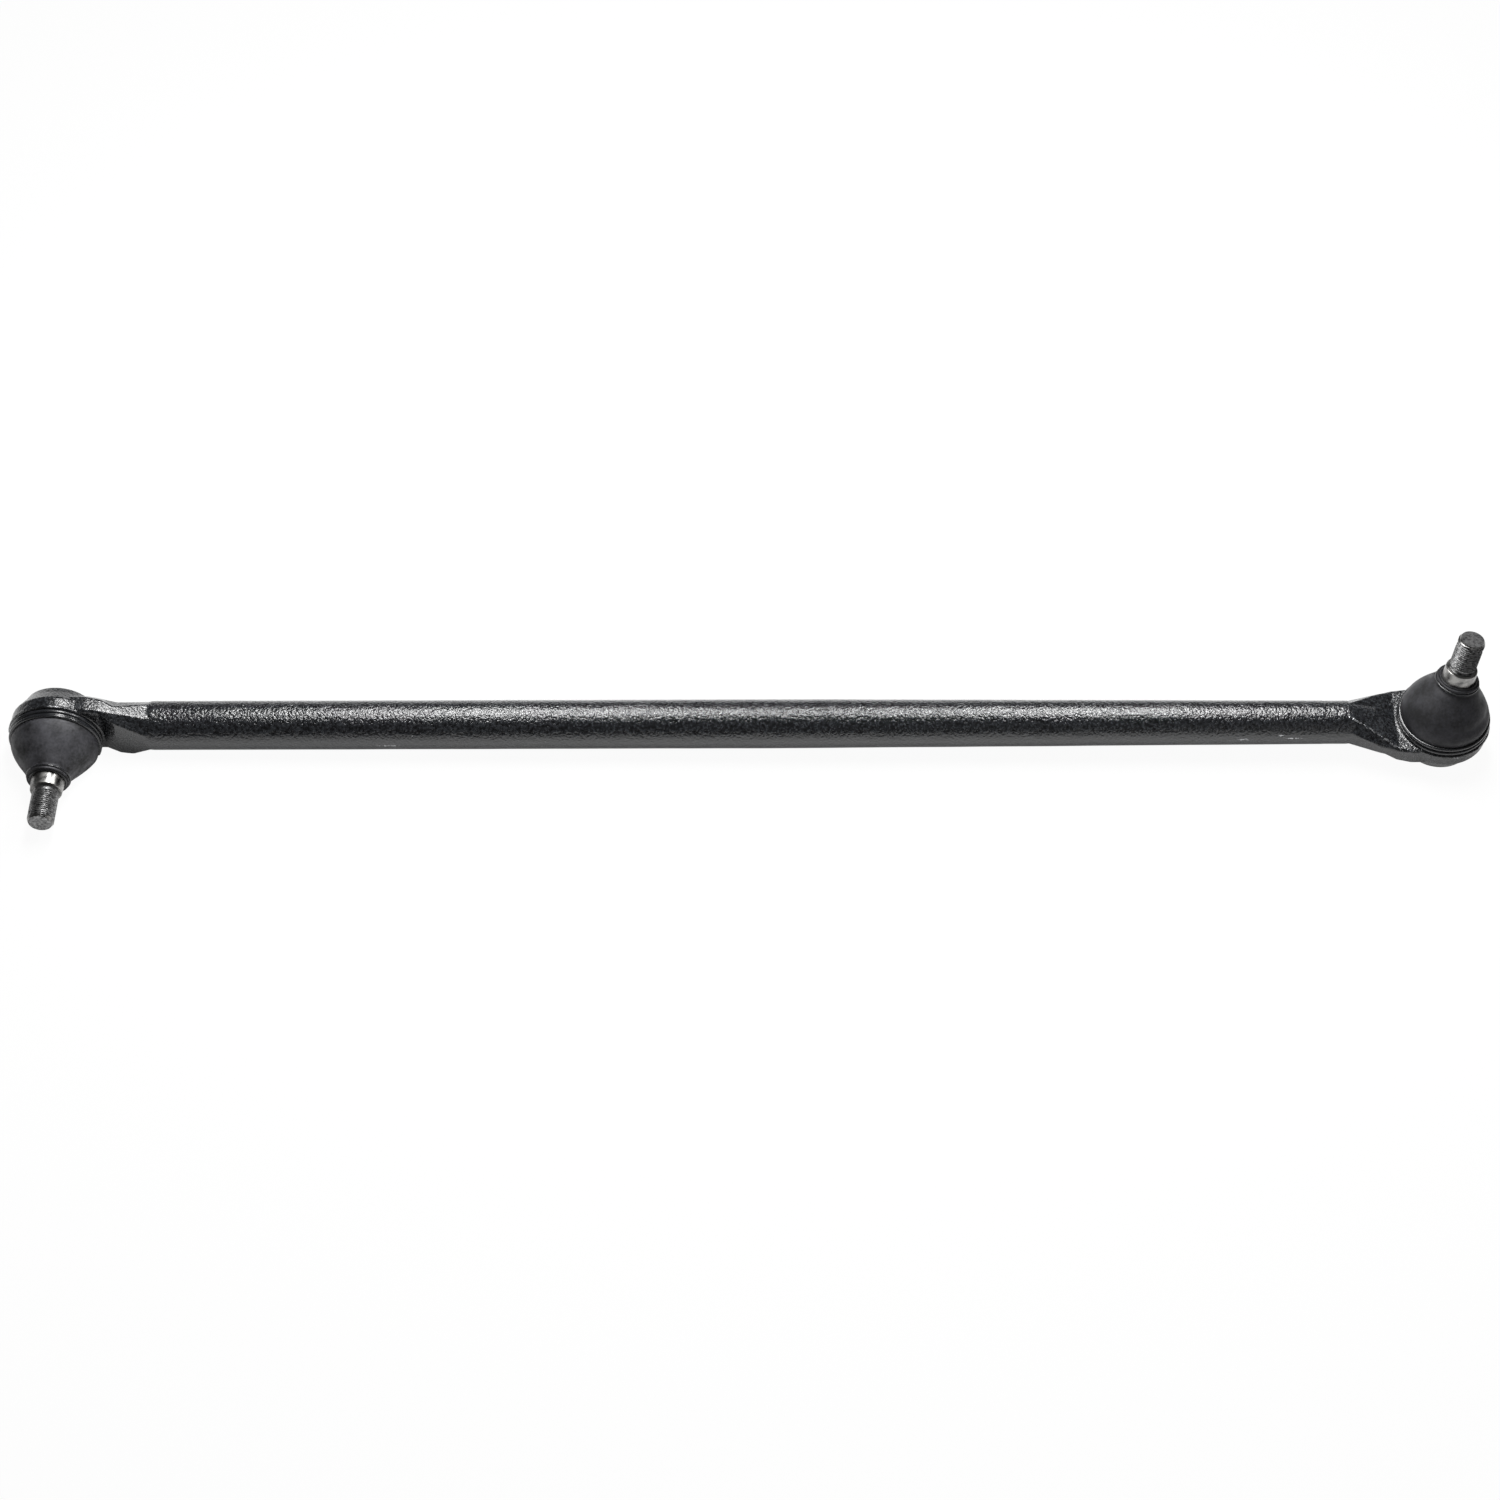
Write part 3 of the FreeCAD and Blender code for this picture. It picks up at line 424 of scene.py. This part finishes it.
def settle(obj, matrix, body, materials, smoothAngle=40):
    # puts a finished piece in its place, with its object left at the origin
    obj.data.transform(matrix)
    obj.data.update()
    obj.data.materials.clear()
    for material in materials:
        obj.data.materials.append(material)
    pick(obj)
    bpy.ops.object.shade_smooth_by_angle(angle=math.radians(smoothAngle))
    if body:
        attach(obj, body)
    return obj


# The forged link: a round bar, an eight-sided neck at each end and a turned socket in each housing

linkSizes = {
    "barRadius": 14.7, "endRadius": 13.0, "taperLength": 330.0, "leftOffset": 5.0, "neckLength": 57.0,
    # sections of the neck: distance from the ball centre, and the four corners of one side (across, up)
    "waist": (37.0, ((14.0, -12.0), (20.0, -4.2), (20.0, 1.0), (16.5, 6.0))),
    "root": (28.6, ((15.5, -13.2), (22.5, -7.5), (22.5, 0.8), (21.0, 2.2))),
    "shoulder": (20.0, ((16.7, -14.4), (23.7, -8.7), (23.7, 0.8), (22.2, 2.2))),
    "inner": (8.0, ((16.7, -14.4), (23.7, -8.7), (23.7, 0.8), (22.2, 2.2))),
    "seam": 74.0, "voxel": 0.56, "smoothing": 7, "waviness": 0.09,
}
# the housing outside, as radius and height from the ball centre
housingSection = [
    (0, -18.4), (20.5, -18.4), (21.5, -16.2), (23.0, -13.2), (24.6, -10.6), (26.0, -8.2), (27.4, -6.0),
    (27.4, 2.7), (24.6, 2.7), (24.6, 9.6), (20.0, 9.6), (20.0, 11.5), (18.0, 13.5), (0, 13.5)]
# the trimmed flash of the forging, a thin rim round that wall
rimSection = [(26.4, 0.2), (27.5, 0.25), (28.45, 0.95), (28.45, 1.95), (27.5, 2.65), (26.4, 2.65), (26.4, 0.2)]
# what is bored out of it: cover opening under the rolled lip, cover seat, bearing bore and flared mouth
cavitySection = [
    (0, -19.7), (16.7, -19.7), (16.7, -17.1), (19.1, -17.1), (19.1, -15.4), (18.5, -15.4), (18.5, 9.0), (13.2, 9.0),
    (14.2, 13.5), (14.2, 15.5), (0, 15.5)]


def neckSolid(end, barRadius):
    # eight-sided rings, each a circle whose corners are moved, bridged into one tapering body
    corner = (barRadius * math.cos(math.pi / 8), barRadius * math.sin(math.pi / 8))
    start = ((corner[1], -corner[0]), (corner[0], -corner[1]), corner, (corner[1], corner[0]))
    drop = linkSizes["leftOffset"] if end.name == "left" else 0.0
    stations = [(linkSizes["neckLength"], start, -drop)]
    stations += [(*linkSizes[name], 0.0) for name in ("waist", "root", "shoulder", "inner")]
    rings = []
    for place, half, lift in stations:
        deselectAll()
        bpy.ops.mesh.primitive_circle_add(vertices=8, radius=10 * mm)
        ring = bpy.context.object
        outline = list(half) + [(-across, up) for across, up in reversed(half)]
        for vertex, (across, up) in zip(ring.data.vertices, outline):
            vertex.co = Vector((-place, across, up + lift)) * mm
        rings.append(ring)
    neck = joinPieces(rings)
    bpy.ops.object.mode_set(mode="EDIT")
    bpy.ops.mesh.select_all(action="SELECT")
    bpy.ops.mesh.bridge_edge_loops()
    bpy.ops.mesh.select_all(action="DESELECT")
    bpy.ops.mesh.select_mode(type="EDGE")
    bpy.ops.mesh.select_non_manifold()
    bpy.ops.mesh.edge_face_add()
    bpy.ops.mesh.select_all(action="SELECT")
    bpy.ops.mesh.normals_make_consistent(inside=False)
    bpy.ops.mesh.select_mode(type="VERT")
    bpy.ops.object.mode_set(mode="OBJECT")
    return neck


def trimmedRim(end):
    # the flash is sheared off by hand, so its edge runs in and out a little and has a nick
    rim = lathe(end.name + "Rim", rimSection, 160)
    for vertex in rim.data.vertices:
        away = Vector((vertex.co.x, vertex.co.y, 0))
        if away.length > 27.6 * mm:
            uneven = noise.noise(vertex.co * 90 + end.ball * 40) * 0.3 + noise.noise(vertex.co * 420) * 0.16
            wanted = min(28.45 + uneven - 0.22, 28.5) * mm
            vertex.co.x *= wanted / away.length
            vertex.co.y *= wanted / away.length
            vertex.co.z += noise.noise(vertex.co * 160) * 0.12 * mm
    return rim


def forgedEnd(end, barRadius):
    # the blank in the socket's frame, softened as a die leaves it, then bored
    housing = lathe(end.name + "Housing", housingSection, 160)
    neck = neckSolid(end, barRadius)
    drop = linkSizes["leftOffset"] if end.name == "left" else 0.0
    stub = lathe(end.name + "Stub", [(0, -10), (barRadius - 4, -10), (barRadius, 6), (barRadius, 32), (0, 32)], 160)
    along = Matrix.Translation(Vector((-(linkSizes["neckLength"] - 6), 0, -drop)) * mm)
    stub.data.transform(along @ Matrix.Rotation(-math.pi / 2, 4, "Y"))
    blank = joinPieces([housing, neck, stub])
    applyModifier(blank, "REMESH", mode="VOXEL", voxel_size=linkSizes["voxel"] * mm)
    applyModifier(blank, "SMOOTH", factor=0.5, iterations=linkSizes["smoothing"])
    rim = trimmedRim(end)
    cavity = lathe(end.name + "Cavity", cavitySection, 128)
    for tool, operation in ((rim, "UNION"), (cavity, "DIFFERENCE")):
        applyModifier(blank, "BOOLEAN", operation=operation, object=tool, solver="EXACT")
        bpy.data.objects.remove(tool)
    blank.data.transform(end.socket)
    pick(blank)
    bpy.ops.object.mode_set(mode="EDIT")
    bpy.ops.mesh.select_all(action="SELECT")
    inwards = -end.outward
    seam = Vector((end.ball.x, 0, 0)) + inwards * linkSizes["seam"] * mm
    bpy.ops.mesh.bisect(plane_co=seam, plane_no=inwards, clear_outer=True)
    bpy.ops.object.mode_set(mode="OBJECT")
    return blank


def barRadiusAt(x):
    # straight on the left, thinning over the last stretch before the right-hand neck
    share = (x / mm + linkSizes["taperLength"] + linkSizes["neckLength"]) / linkSizes["taperLength"]
    share = min(max(share, 0.0), 1.0)
    return (linkSizes["barRadius"] + (linkSizes["endRadius"] - linkSizes["barRadius"]) * share) * mm


def roundSeam(blank, seamX):
    # sets the cut edge exactly on the bar's circle, so that the tube meets it without a step
    axisHeight = ends[1].ball.z
    for vertex in blank.data.vertices:
        if abs(vertex.co.x - seamX) < 2.5 * mm:
            away = Vector((0, vertex.co.y, vertex.co.z - axisHeight))
            exact = away.normalized() * barRadiusAt(vertex.co.x)
            vertex.co.y = exact.y
            vertex.co.z = exact.z + axisHeight


def barTube(leftX, rightX):
    # the round bar between the seams, slightly uneven as a bar heated for forging is
    length = (rightX - leftX) / mm
    section = [(linkSizes["barRadius"], step * length / 240) for step in range(241)]
    tube = lathe("barTube", section, 112)
    lay = Matrix.Translation(Vector((leftX, 0, ends[1].ball.z))) @ Matrix.Rotation(math.pi / 2, 4, "Y")
    tube.data.transform(lay)
    for vertex in tube.data.vertices:
        x = vertex.co.x
        fade = min(max(min(x - leftX, rightX - x) / (25 * mm), 0.0), 1.0)
        uneven = noise.noise(vertex.co * 38) * linkSizes["waviness"] * mm * fade
        away = Vector((0, vertex.co.y, vertex.co.z - ends[1].ball.z)).normalized()
        exact = away * (barRadiusAt(x) + uneven)
        vertex.co.y = exact.y
        vertex.co.z = exact.z + ends[1].ball.z
    return tube


# edges knocked to bare steel, and a painted highlight along the right neck's ridge and the strips beside it:
# a line in the socket's frame in mm, its reach in mm and its strength
wearAndGlintLines = {
    "left": [((-6, -27.9, 1.8), (-1, -28.4, 1.8), 1.1, 1.0), ((-57, 5, 12), (-37, 16.5, 6), 0.9, 0.35),
             ((-20, -16.7, -13.8), (-8, -20, -11), 1.0, 0.4), ((8, -27.5, 2.0), (16, -23.5, 2.0), 0.7, 0.5),
             ((-37, 20, -4), (-33, 21, -5.5), 1.0, 0.6)],
    "right": [((-58, -4.6, 12.2), (-37, -16.5, 6.0), 1.1, 0.72), ((-37, -16.5, 6.0), (-28.6, -21.0, 2.2), 1.4, 0.74),
              ((-28.6, -21.5, 2.0), (-15, -24.5, 2.0), 1.4, 0.68), ((-30, 11, 3.2), (-26, 18, 2.4), 1.3, 0.62),
              ((2, -28.3, 1.4), (5, -28.0, 1.4), 0.9, 1.0), ((-44, -14, -9), (-30, -17, -12), 1.2, 0.4)],
}


def nearLine(point, start, finish):
    along = finish - start
    share = min(max((point - start).dot(along) / along.length_squared, 0.0), 1.0)
    return (point - start - along * share).length


def paintWearAndGlints(link):
    # writes how far the paint is rubbed off at each vertex, strongest along the knocked edges, and the painted
    # highlight along the right neck's ridge and strips
    wearAndGlints = link.data.attributes.new("wearAndGlints", "FLOAT", "POINT")
    values = [0.0] * len(link.data.vertices)
    for end in ends:
        back = end.socket.inverted()
        lines = [(Vector(start), Vector(finish), reach, strength)
                 for start, finish, reach, strength in wearAndGlintLines[end.name]]
        for vertex in link.data.vertices:
            local = (back @ vertex.co) / mm
            if local.length > 80:
                continue
            strongest = 0.0
            for start, finish, reach, strength in lines:
                markShare = strength * math.exp(-(nearLine(local, start, finish) / reach) ** 2)
                strongest = max(strongest, markShare)
            values[vertex.index] = max(values[vertex.index], strongest)
    wearAndGlints.data.foreach_set("value", values)


def makeLink():
    blanks = [forgedEnd(end, radius) for end, radius in zip(ends, (linkSizes["barRadius"], linkSizes["endRadius"]))]
    leftX = ends[0].ball.x + linkSizes["seam"] * mm
    rightX = ends[1].ball.x - linkSizes["seam"] * mm
    for blank, seamX in zip(blanks, (leftX, rightX)):
        roundSeam(blank, seamX)
    tube = barTube(leftX + 1.2 * mm, rightX - 1.2 * mm)
    link = joinPieces([tube] + blanks)
    link.name = "forgedLinkPainted"
    bpy.ops.object.mode_set(mode="EDIT")
    for seamX in (leftX, rightX):
        bpy.ops.mesh.select_all(action="DESELECT")
        edit = bmesh.from_edit_mesh(link.data)
        for edge in edit.edges:
            if edge.is_boundary and abs(edge.verts[0].co.x - seamX) < 2 * mm:
                edge.select = True
        bmesh.update_edit_mesh(link.data)
        bpy.ops.mesh.bridge_edge_loops()
    bpy.ops.mesh.select_all(action="SELECT")
    bpy.ops.mesh.normals_make_consistent(inside=False)
    bpy.ops.object.mode_set(mode="OBJECT")
    paintWearAndGlints(link)
    settle(link, Matrix(), "link", [paintOnForging], 50)
    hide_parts("forged_link")
    print("forged link:", len(link.data.polygons), "faces")
    return link


link = makeLink()


# The ball studs, turned in one piece and threaded

studSizes = {
    "ballRadius": 15.0, "flatRadius": 6.2, "neckRadius": 7.25, "neckTop": 16.5, "flare": (9.0, 20.0),
    "taperFoot": 24.0, "taperFootRadius": 10.7, "taperTop": 45.0, "taperTopRadius": 9.4,
    "grooveRadius": 6.8, "grooveTop": 47.4, "threadFoot": 48.0, "threadRadius": 7.9375, "chamferFoot": 66.3,
    "tip": 68.0, "tipRadius": 6.9, "pitch": 25.4 / 18, "threadDepth": 0.82,
    "pinHoleRadius": 2.0, "pinHoleHeight": 62.2, "pinHoleHeading": {"left": -30.0, "right": -20.0},
}


def studSection():
    s = studSizes
    low = -math.sqrt(s["ballRadius"] ** 2 - s["flatRadius"] ** 2)
    high = math.sqrt(s["ballRadius"] ** 2 - s["neckRadius"] ** 2)
    section = [(0, low), (s["flatRadius"], low)]
    first = math.atan2(low, s["flatRadius"])
    last = math.atan2(high, s["neckRadius"])
    for step in range(1, 40):
        angle = first + (last - first) * step / 40
        section.append((s["ballRadius"] * math.cos(angle), s["ballRadius"] * math.sin(angle)))
    section += [(s["neckRadius"], high), (s["neckRadius"], s["neckTop"]), s["flare"],
                (s["taperFootRadius"], s["taperFoot"])]
    for step in range(1, 12):
        share = step / 12
        section.append((s["taperFootRadius"] + (s["taperTopRadius"] - s["taperFootRadius"]) * share,
                        s["taperFoot"] + (s["taperTop"] - s["taperFoot"]) * share))
    section += [(s["taperTopRadius"], s["taperTop"] - 0.35), (s["taperTopRadius"] - 0.35, s["taperTop"]),
                (s["grooveRadius"] + 0.4, s["taperTop"]), (s["grooveRadius"], s["taperTop"] + 0.4),
                (s["grooveRadius"], s["grooveTop"] - 0.3)]
    rows = 170
    for step in range(rows + 1):
        height = s["grooveTop"] + (s["tip"] - s["grooveTop"]) * step / rows
        section.append((threadLimit(height), height))
    section += [(s["tipRadius"] - 0.5, s["tip"]), (0, s["tip"])]
    return section


def threadLimit(height):
    # the blank that the thread is cut in: runout at its foot and chamfer at its tip
    s = studSizes
    if height < s["threadFoot"]:
        rise = (s["threadRadius"] - s["grooveRadius"]) * (height - s["grooveTop"])
        return s["grooveRadius"] + rise / (s["threadFoot"] - s["grooveTop"])
    if height > s["chamferFoot"]:
        rise = (s["tipRadius"] - s["threadRadius"]) * (height - s["chamferFoot"])
        return s["threadRadius"] + rise / (s["tip"] - s["chamferFoot"])
    return s["threadRadius"]


def cutThread(obj):
    # lowers the wall along a helix: flats at crest and root, 60 degree flanks between
    s = studSizes
    for vertex in obj.data.vertices:
        height = vertex.co.z / mm
        radius = math.hypot(vertex.co.x, vertex.co.y) / mm
        if height < s["grooveTop"] - 0.01 or height > s["tip"] - 0.05 or radius < s["tipRadius"] - 0.3:
            continue
        turn = math.atan2(vertex.co.y, vertex.co.x) / (2 * math.pi)
        phase = (height / s["pitch"] - turn) % 1.0
        flank = min(max((abs(phase - 0.5) * 2 - 0.14) / 0.68, 0.0), 1.0)
        wanted = min(radius, s["threadRadius"] - s["threadDepth"] * flank)
        vertex.co.x *= wanted / radius
        vertex.co.y *= wanted / radius


def makeStud(end):
    s = studSizes
    stud = lathe(end.name + "BallStudThreaded", studSection(), 96)
    cutThread(stud)
    deselectAll()
    bpy.ops.mesh.primitive_cylinder_add(vertices=32, radius=s["pinHoleRadius"] * mm, depth=30 * mm,
                                        location=(0, 0, 0))
    drill = bpy.context.object
    heading = math.radians(s["pinHoleHeading"][end.name])
    across = Matrix.Rotation(heading, 4, "Z") @ Matrix.Rotation(math.pi / 2, 4, "Y")
    drill.data.transform(Matrix.Translation((0, 0, s["pinHoleHeight"] * mm)) @ across)
    applyModifier(stud, "BOOLEAN", operation="DIFFERENCE", object=drill, solver="EXACT")
    bpy.data.objects.remove(drill)
    settle(stud, Matrix(), None, [makeTurnedSteel(end), greySteel], 35)
    for face in stud.data.polygons:
        height = face.center.z / mm
        threaded = s["taperTop"] + 0.2 < height < s["chamferFoot"] or height > s["tip"] - 0.02
        face.material_index = 1 if threaded else 0
    stud.data.transform(end.stud)
    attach(stud, end.name + "_stud")
    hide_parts(end.name + "_ball_stud")
    return stud


for end in ends:
    makeStud(end)
print("studs turned and threaded")


# The dust boots: a cuff, a domed wall and a lipped neck, moulded in one

# outside of the boot: radius, height and the share of the stud's lean taken up there
bootOutside = [
    (25.95, 2.75, 0.0), (25.95, 6.0, 0.0), (25.95, 9.0, 0.0), (25.8, 9.8, 0.0), (26.0, 11.0, 0.02),
    (25.8, 12.4, 0.04), (25.1, 14.6, 0.13), (24.1, 17.0, 0.22), (22.8, 19.3, 0.35), (21.3, 21.6, 0.48),
    (19.6, 24.0, 0.61), (17.7, 26.4, 0.74), (15.9, 28.9, 0.86), (14.4, 31.2, 0.95), (13.2, 32.6, 1.0),
    (12.8, 33.4, 1.0), (12.75, 33.8, 1.0), (12.15, 34.2, 1.0), (12.1, 34.6, 1.0), (12.15, 35.0, 1.0),
    (12.75, 35.4, 1.0), (12.8, 36.0, 1.0), (12.7, 36.6, 1.0), (12.3, 36.8, 1.0), (11.6, 36.8, 1.0),
    (11.3, 36.7, 1.0), (11.3, 36.0, 1.0), (11.3, 33.0, 1.0)]
bootInside = [
    (12.0, 31.4, 0.95), (14.0, 29.0, 0.86), (15.7, 26.4, 0.74), (17.6, 24.0, 0.61), (19.3, 21.6, 0.48),
    (20.8, 19.3, 0.35), (22.1, 17.0, 0.22), (23.1, 14.6, 0.13), (23.8, 12.4, 0.04), (24.0, 11.0, 0.0),
    (24.65, 9.7, 0.0), (24.65, 6.0, 0.0), (24.65, 2.75, 0.0)]


# where the rubber is pressed in or bulges: azimuth and half width in degrees, height, half height and depth in mm
bootFolds = {
    "left": [(155, 60, 25.0, 9.0, -1.3), (150, 34, 12.6, 2.6, 0.3)],
    "right": [(-48, 46, 13.2, 3.0, 0.6), (-48, 40, 17.6, 1.9, -0.55)],
}


def foldAt(end, place):
    # how far the wall stands out or in at a place in the socket's frame
    azimuth = math.degrees(math.atan2(place.y, place.x))
    depth = 0.0
    for middle, width, height, reach, most in bootFolds[end.name]:
        turn = (azimuth - middle + 180) % 360 - 180
        depth += most * math.exp(-(turn / width) ** 2 - ((place.z / mm - height) / reach) ** 2)
    return depth * mm


def shareAt(height):
    # the share of the lean at a height, read between the boot's stations
    stations = [(up, share) for _, up, share in bootOutside]
    for (low, lowShare), (high, highShare) in zip(stations, stations[1:]):
        if low <= height <= high and high > low:
            return lowShare + (highShare - lowShare) * (height - low) / (high - low)
    return 0.0 if height < stations[0][0] else 1.0


def makeBoot(end):
    section = [(radius, height) for radius, height, _ in bootOutside + bootInside]
    boot = lathe(end.name + "DustBoot", section + section[:1], 48)
    applyModifier(boot, "SUBSURF", levels=2, render_levels=2)
    for vertex in boot.data.vertices:
        share = shareAt(vertex.co.z / mm)
        outwards = Vector((vertex.co.x, vertex.co.y, 0)).normalized()
        vertex.co = end.leaning(share) @ (vertex.co + outwards * foldAt(end, vertex.co))
    boot.data.update()
    settle(boot, Matrix(), None, [makeRubber(end)], 60)
    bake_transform(boot)
    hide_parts(end.name + "_dust_boot")
    return boot


for end in ends:
    makeBoot(end)
print("boots moulded")


# Pressed pieces round the boot and under the socket

ringSizes = {"inside": 25.95, "wall": 26.65, "foot": 2.75, "top": 8.45, "beads": ((4.2, 1.3, 1.02), (7.4, 1.05, 0.82))}
coverSection = [
    (0, -20.1, 0), (13.8, -20.1, 1.0), (14.7, -17.1, 0.5), (19.1, -17.1, 0), (19.1, -15.4, 0), (13.0, -15.4, 0.5),
    (12.1, -18.4, 0.8), (0, -18.4, 0)]
wireRing = {"radius": 12.65, "wire": 0.6, "height": 34.6}
bushSection = [(10.16, 32.8), (11.25, 32.8), (11.25, 37.0), (11.0, 37.3), (10.1, 37.3), (9.88, 37.15), (10.16, 32.8)]


def ringSection():
    # the sheet's foot, two half-round beads (middle, half height, bulge) and the top edge
    s = ringSizes
    section = [(s["inside"], s["foot"], 0), (s["wall"] - 0.1, s["foot"], 0), (s["wall"], s["foot"] + 0.1, 0)]
    for middle, half, bulge in s["beads"]:
        for step in range(11):
            angle = math.pi * step / 10
            section.append((s["wall"] + bulge * math.sin(angle), middle - half * math.cos(angle), 0))
    section += [(s["wall"] - 0.1, s["top"] + 0.05, 0), (s["inside"], s["top"] + 0.05, 0), (s["inside"], s["foot"], 0)]
    return section


def makePressed(end, name, corners, body, node):
    piece = lathe(end.name + name, roundedSection(corners), 128)
    settle(piece, end.socket, body, [paintOnSheet], 45)
    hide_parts(end.name + node)
    return piece


def makeNeckParts(end):
    # the wire ring in the boot's groove and the bush that the stud turns in
    deselectAll()
    bpy.ops.mesh.primitive_torus_add(major_radius=wireRing["radius"] * mm, minor_radius=wireRing["wire"] * mm,
                                     major_segments=96, minor_segments=16)
    wire = bpy.context.object
    wire.name = end.name + "WireRing"
    wire.data.transform(Matrix.Translation((0, 0, wireRing["height"] * mm)))
    settle(wire, end.stud, end.name + "_tilt", [paintOnSheet])
    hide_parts(end.name + "_boot_neck_ring")
    bush = lathe(end.name + "NeckBush", bushSection, 96)
    settle(bush, end.stud, end.name + "_tilt", [nylon], 35)
    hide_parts(end.name + "_boot_neck_bush")


for end in ends:
    makePressed(end, "BeadedRing", ringSection(), end.name + "_swivel", "_boot_base_ring")
    makePressed(end, "EndCoverPressed", coverSection, "link", "_end_cover")
    makeNeckParts(end)

nodeFinishes = {"upper_bearing": sinteredIron, "lower_bearing": sinteredIron,
                "pressure_washer": hardenedSteel, "preload_spring": hardenedSteel}
for end in ends:
    for piece, material in nodeFinishes.items():
        node = frame["nodes"][end.name + "_" + piece]
        node.data.materials.clear()
        node.data.materials.append(material)
print("pressed pieces and hidden pieces finished")


# Floor, light and camera

stageSizes = {
    "floorMm": 9000.0, "floorGlow": 0.95, "floorShade": 0.035,
    # the same floor as the paint reflects it: white paper under the lamps, with a painted glow brighter in front that
    # falls off behind the link
    "tableFront": 0.3, "tableBack": 0.05, "tablePaper": 0.62,
    "roomLevel": 0.1,
    "cameraElevation": 53.7, "cameraDistance": 1.8, "lens": 72.0, "roll": 0.16,
    "photoWidth": 1500, "middlePixel": (750.0, 723.8),
}


def makeFloor():
    # touches the right cover's face and the left housing's rim, so it is tipped by half a degree
    rimRadius = 28.5 * mm
    drop = ends[0].ball.z - rimRadius
    tip = math.atan2(-drop, -ends[0].ball.x)
    deselectAll()
    bpy.ops.mesh.primitive_plane_add(size=stageSizes["floorMm"] * mm)
    floor = bpy.context.object
    floor.name = "studioFloor"
    floor.data.transform(Matrix.Translation((0, 0, -0.05 * mm)) @ Matrix.Rotation(tip, 4, "Y"))
    material, tree = newMaterial("whiteStudioFloor")
    s = stageSizes
    # seen straight on it is overexposed paper with only a trace of shadow
    seen = addNode(tree, "ShaderNodeLightPath").outputs["Is Camera Ray"]
    matte = addNode(tree, "ShaderNodeBsdfDiffuse", {"Color": grey(s["floorShade"])})
    glow = addNode(tree, "ShaderNodeEmission", {"Color": grey(1.0), "Strength": s["floorGlow"]})
    overexposed = addNode(tree, "ShaderNodeAddShader", links={0: matte.outputs[0], 1: glow.outputs[0]})
    place = addNode(tree, "ShaderNodeTexCoord").outputs["Object"]
    depth = addNode(tree, "ShaderNodeSeparateXYZ", links={0: place}).outputs["Y"]
    level = addNode(tree, "ShaderNodeMapRange", {"From Min": 0.0, "From Max": 0.12, "To Min": s["tableFront"],
                                                 "To Max": s["tableBack"]}, {"Value": depth})
    paper = addNode(tree, "ShaderNodeBsdfDiffuse", {"Color": grey(s["tablePaper"])})
    # painted reflection: the floor glows brighter in front of the link than behind it
    paintedGlow = addNode(tree, "ShaderNodeEmission", {"Color": grey(1.0)}, {"Strength": level.outputs[0]})
    paperAndGlow = addNode(tree, "ShaderNodeAddShader", links={0: paper.outputs[0], 1: paintedGlow.outputs[0]})
    either = addNode(tree, "ShaderNodeMixShader", links={0: seen, 1: paperAndGlow.outputs[0], 2: overexposed.outputs[0]})
    addNode(tree, "ShaderNodeOutputMaterial", links={"Surface": either.outputs[0]})
    floor.data.materials.append(material)


def makeWorld():
    world = bpy.data.worlds.new("studioRoom")
    bpy.context.scene.world = world
    world.use_nodes = True
    tree = world.node_tree
    tree.nodes.clear()
    path = addNode(tree, "ShaderNodeLightPath")
    level = addNode(tree, "ShaderNodeMapRange", {"To Min": stageSizes["roomLevel"], "To Max": 1.0},
                    {"Value": path.outputs["Is Camera Ray"]})
    room = addNode(tree, "ShaderNodeBackground", {"Color": grey(1.0)}, {"Strength": level.outputs[0]})
    addNode(tree, "ShaderNodeOutputWorld", links={"Surface": room.outputs[0]})


# softboxes: place, aim, size in metres and power in watts
lamps = {
    "longOverheadSoftbox": {"place": (-0.37, 0.5, 1.34), "aim": (-0.37, 0.0, 0.02), "size": (1.15, 0.95), "power": 2.6},
    "leftOverheadStrip": {"place": (-0.62, 0.27, 0.72), "aim": (-0.62, 0.0, 0.02), "size": (0.15, 0.5), "power": 8.6},
    "rightOverheadStrip": {"place": (-0.11, 0.27, 0.72), "aim": (-0.11, 0.0, 0.02), "size": (0.15, 0.5), "power": 8.8},
    "lowRightFill": {"place": (0.55, -1.1, 0.55), "aim": (-0.1, 0.0, 0.02), "size": (0.6, 0.5), "power": 0.9},
}


def makeLamps():
    for name, lamp in lamps.items():
        data = bpy.data.lights.new(name, "AREA")
        data.shape = "RECTANGLE"
        data.size, data.size_y = lamp["size"]
        data.energy = lamp["power"]
        obj = bpy.data.objects.new(name, data)
        obj.location = lamp["place"]
        obj.rotation_euler = (Vector(lamp["aim"]) - obj.location).to_track_quat("-Z", "Y").to_euler()
        bpy.context.collection.objects.link(obj)


def makeCamera():
    s = stageSizes
    elevation = math.radians(s["cameraElevation"])
    back = Vector((0, -math.cos(elevation), math.sin(elevation)))
    right = Vector((1, 0, 0))
    up = back.cross(right)
    middle = (ends[0].ball + ends[1].ball) / 2
    middle.y = 0.0
    data = bpy.data.cameras.new("photoCamera")
    data.sensor_width = 36.0
    data.lens = s["lens"]
    pixel = data.sensor_width / data.lens * s["cameraDistance"] / s["photoWidth"]
    lift = (s["photoWidth"] / 2 - s["middlePixel"][1]) * pixel
    aside = (s["middlePixel"][0] - s["photoWidth"] / 2) * pixel
    camera = bpy.data.objects.new("photoCamera", data)
    camera.location = middle + back * s["cameraDistance"] - up * lift - right * aside
    turn = Quaternion(back, math.radians(-s["roll"]))
    camera.rotation_mode = "QUATERNION"
    camera.rotation_quaternion = turn @ (-back).to_track_quat("-Z", "Y")
    data.clip_start = 0.01
    data.clip_end = 50.0
    bpy.context.collection.objects.link(camera)
    bpy.context.scene.camera = camera


makeFloor()
makeWorld()
makeLamps()
makeCamera()
bpy.context.scene.view_settings.view_transform = "Standard"
print("stage, light and camera set")
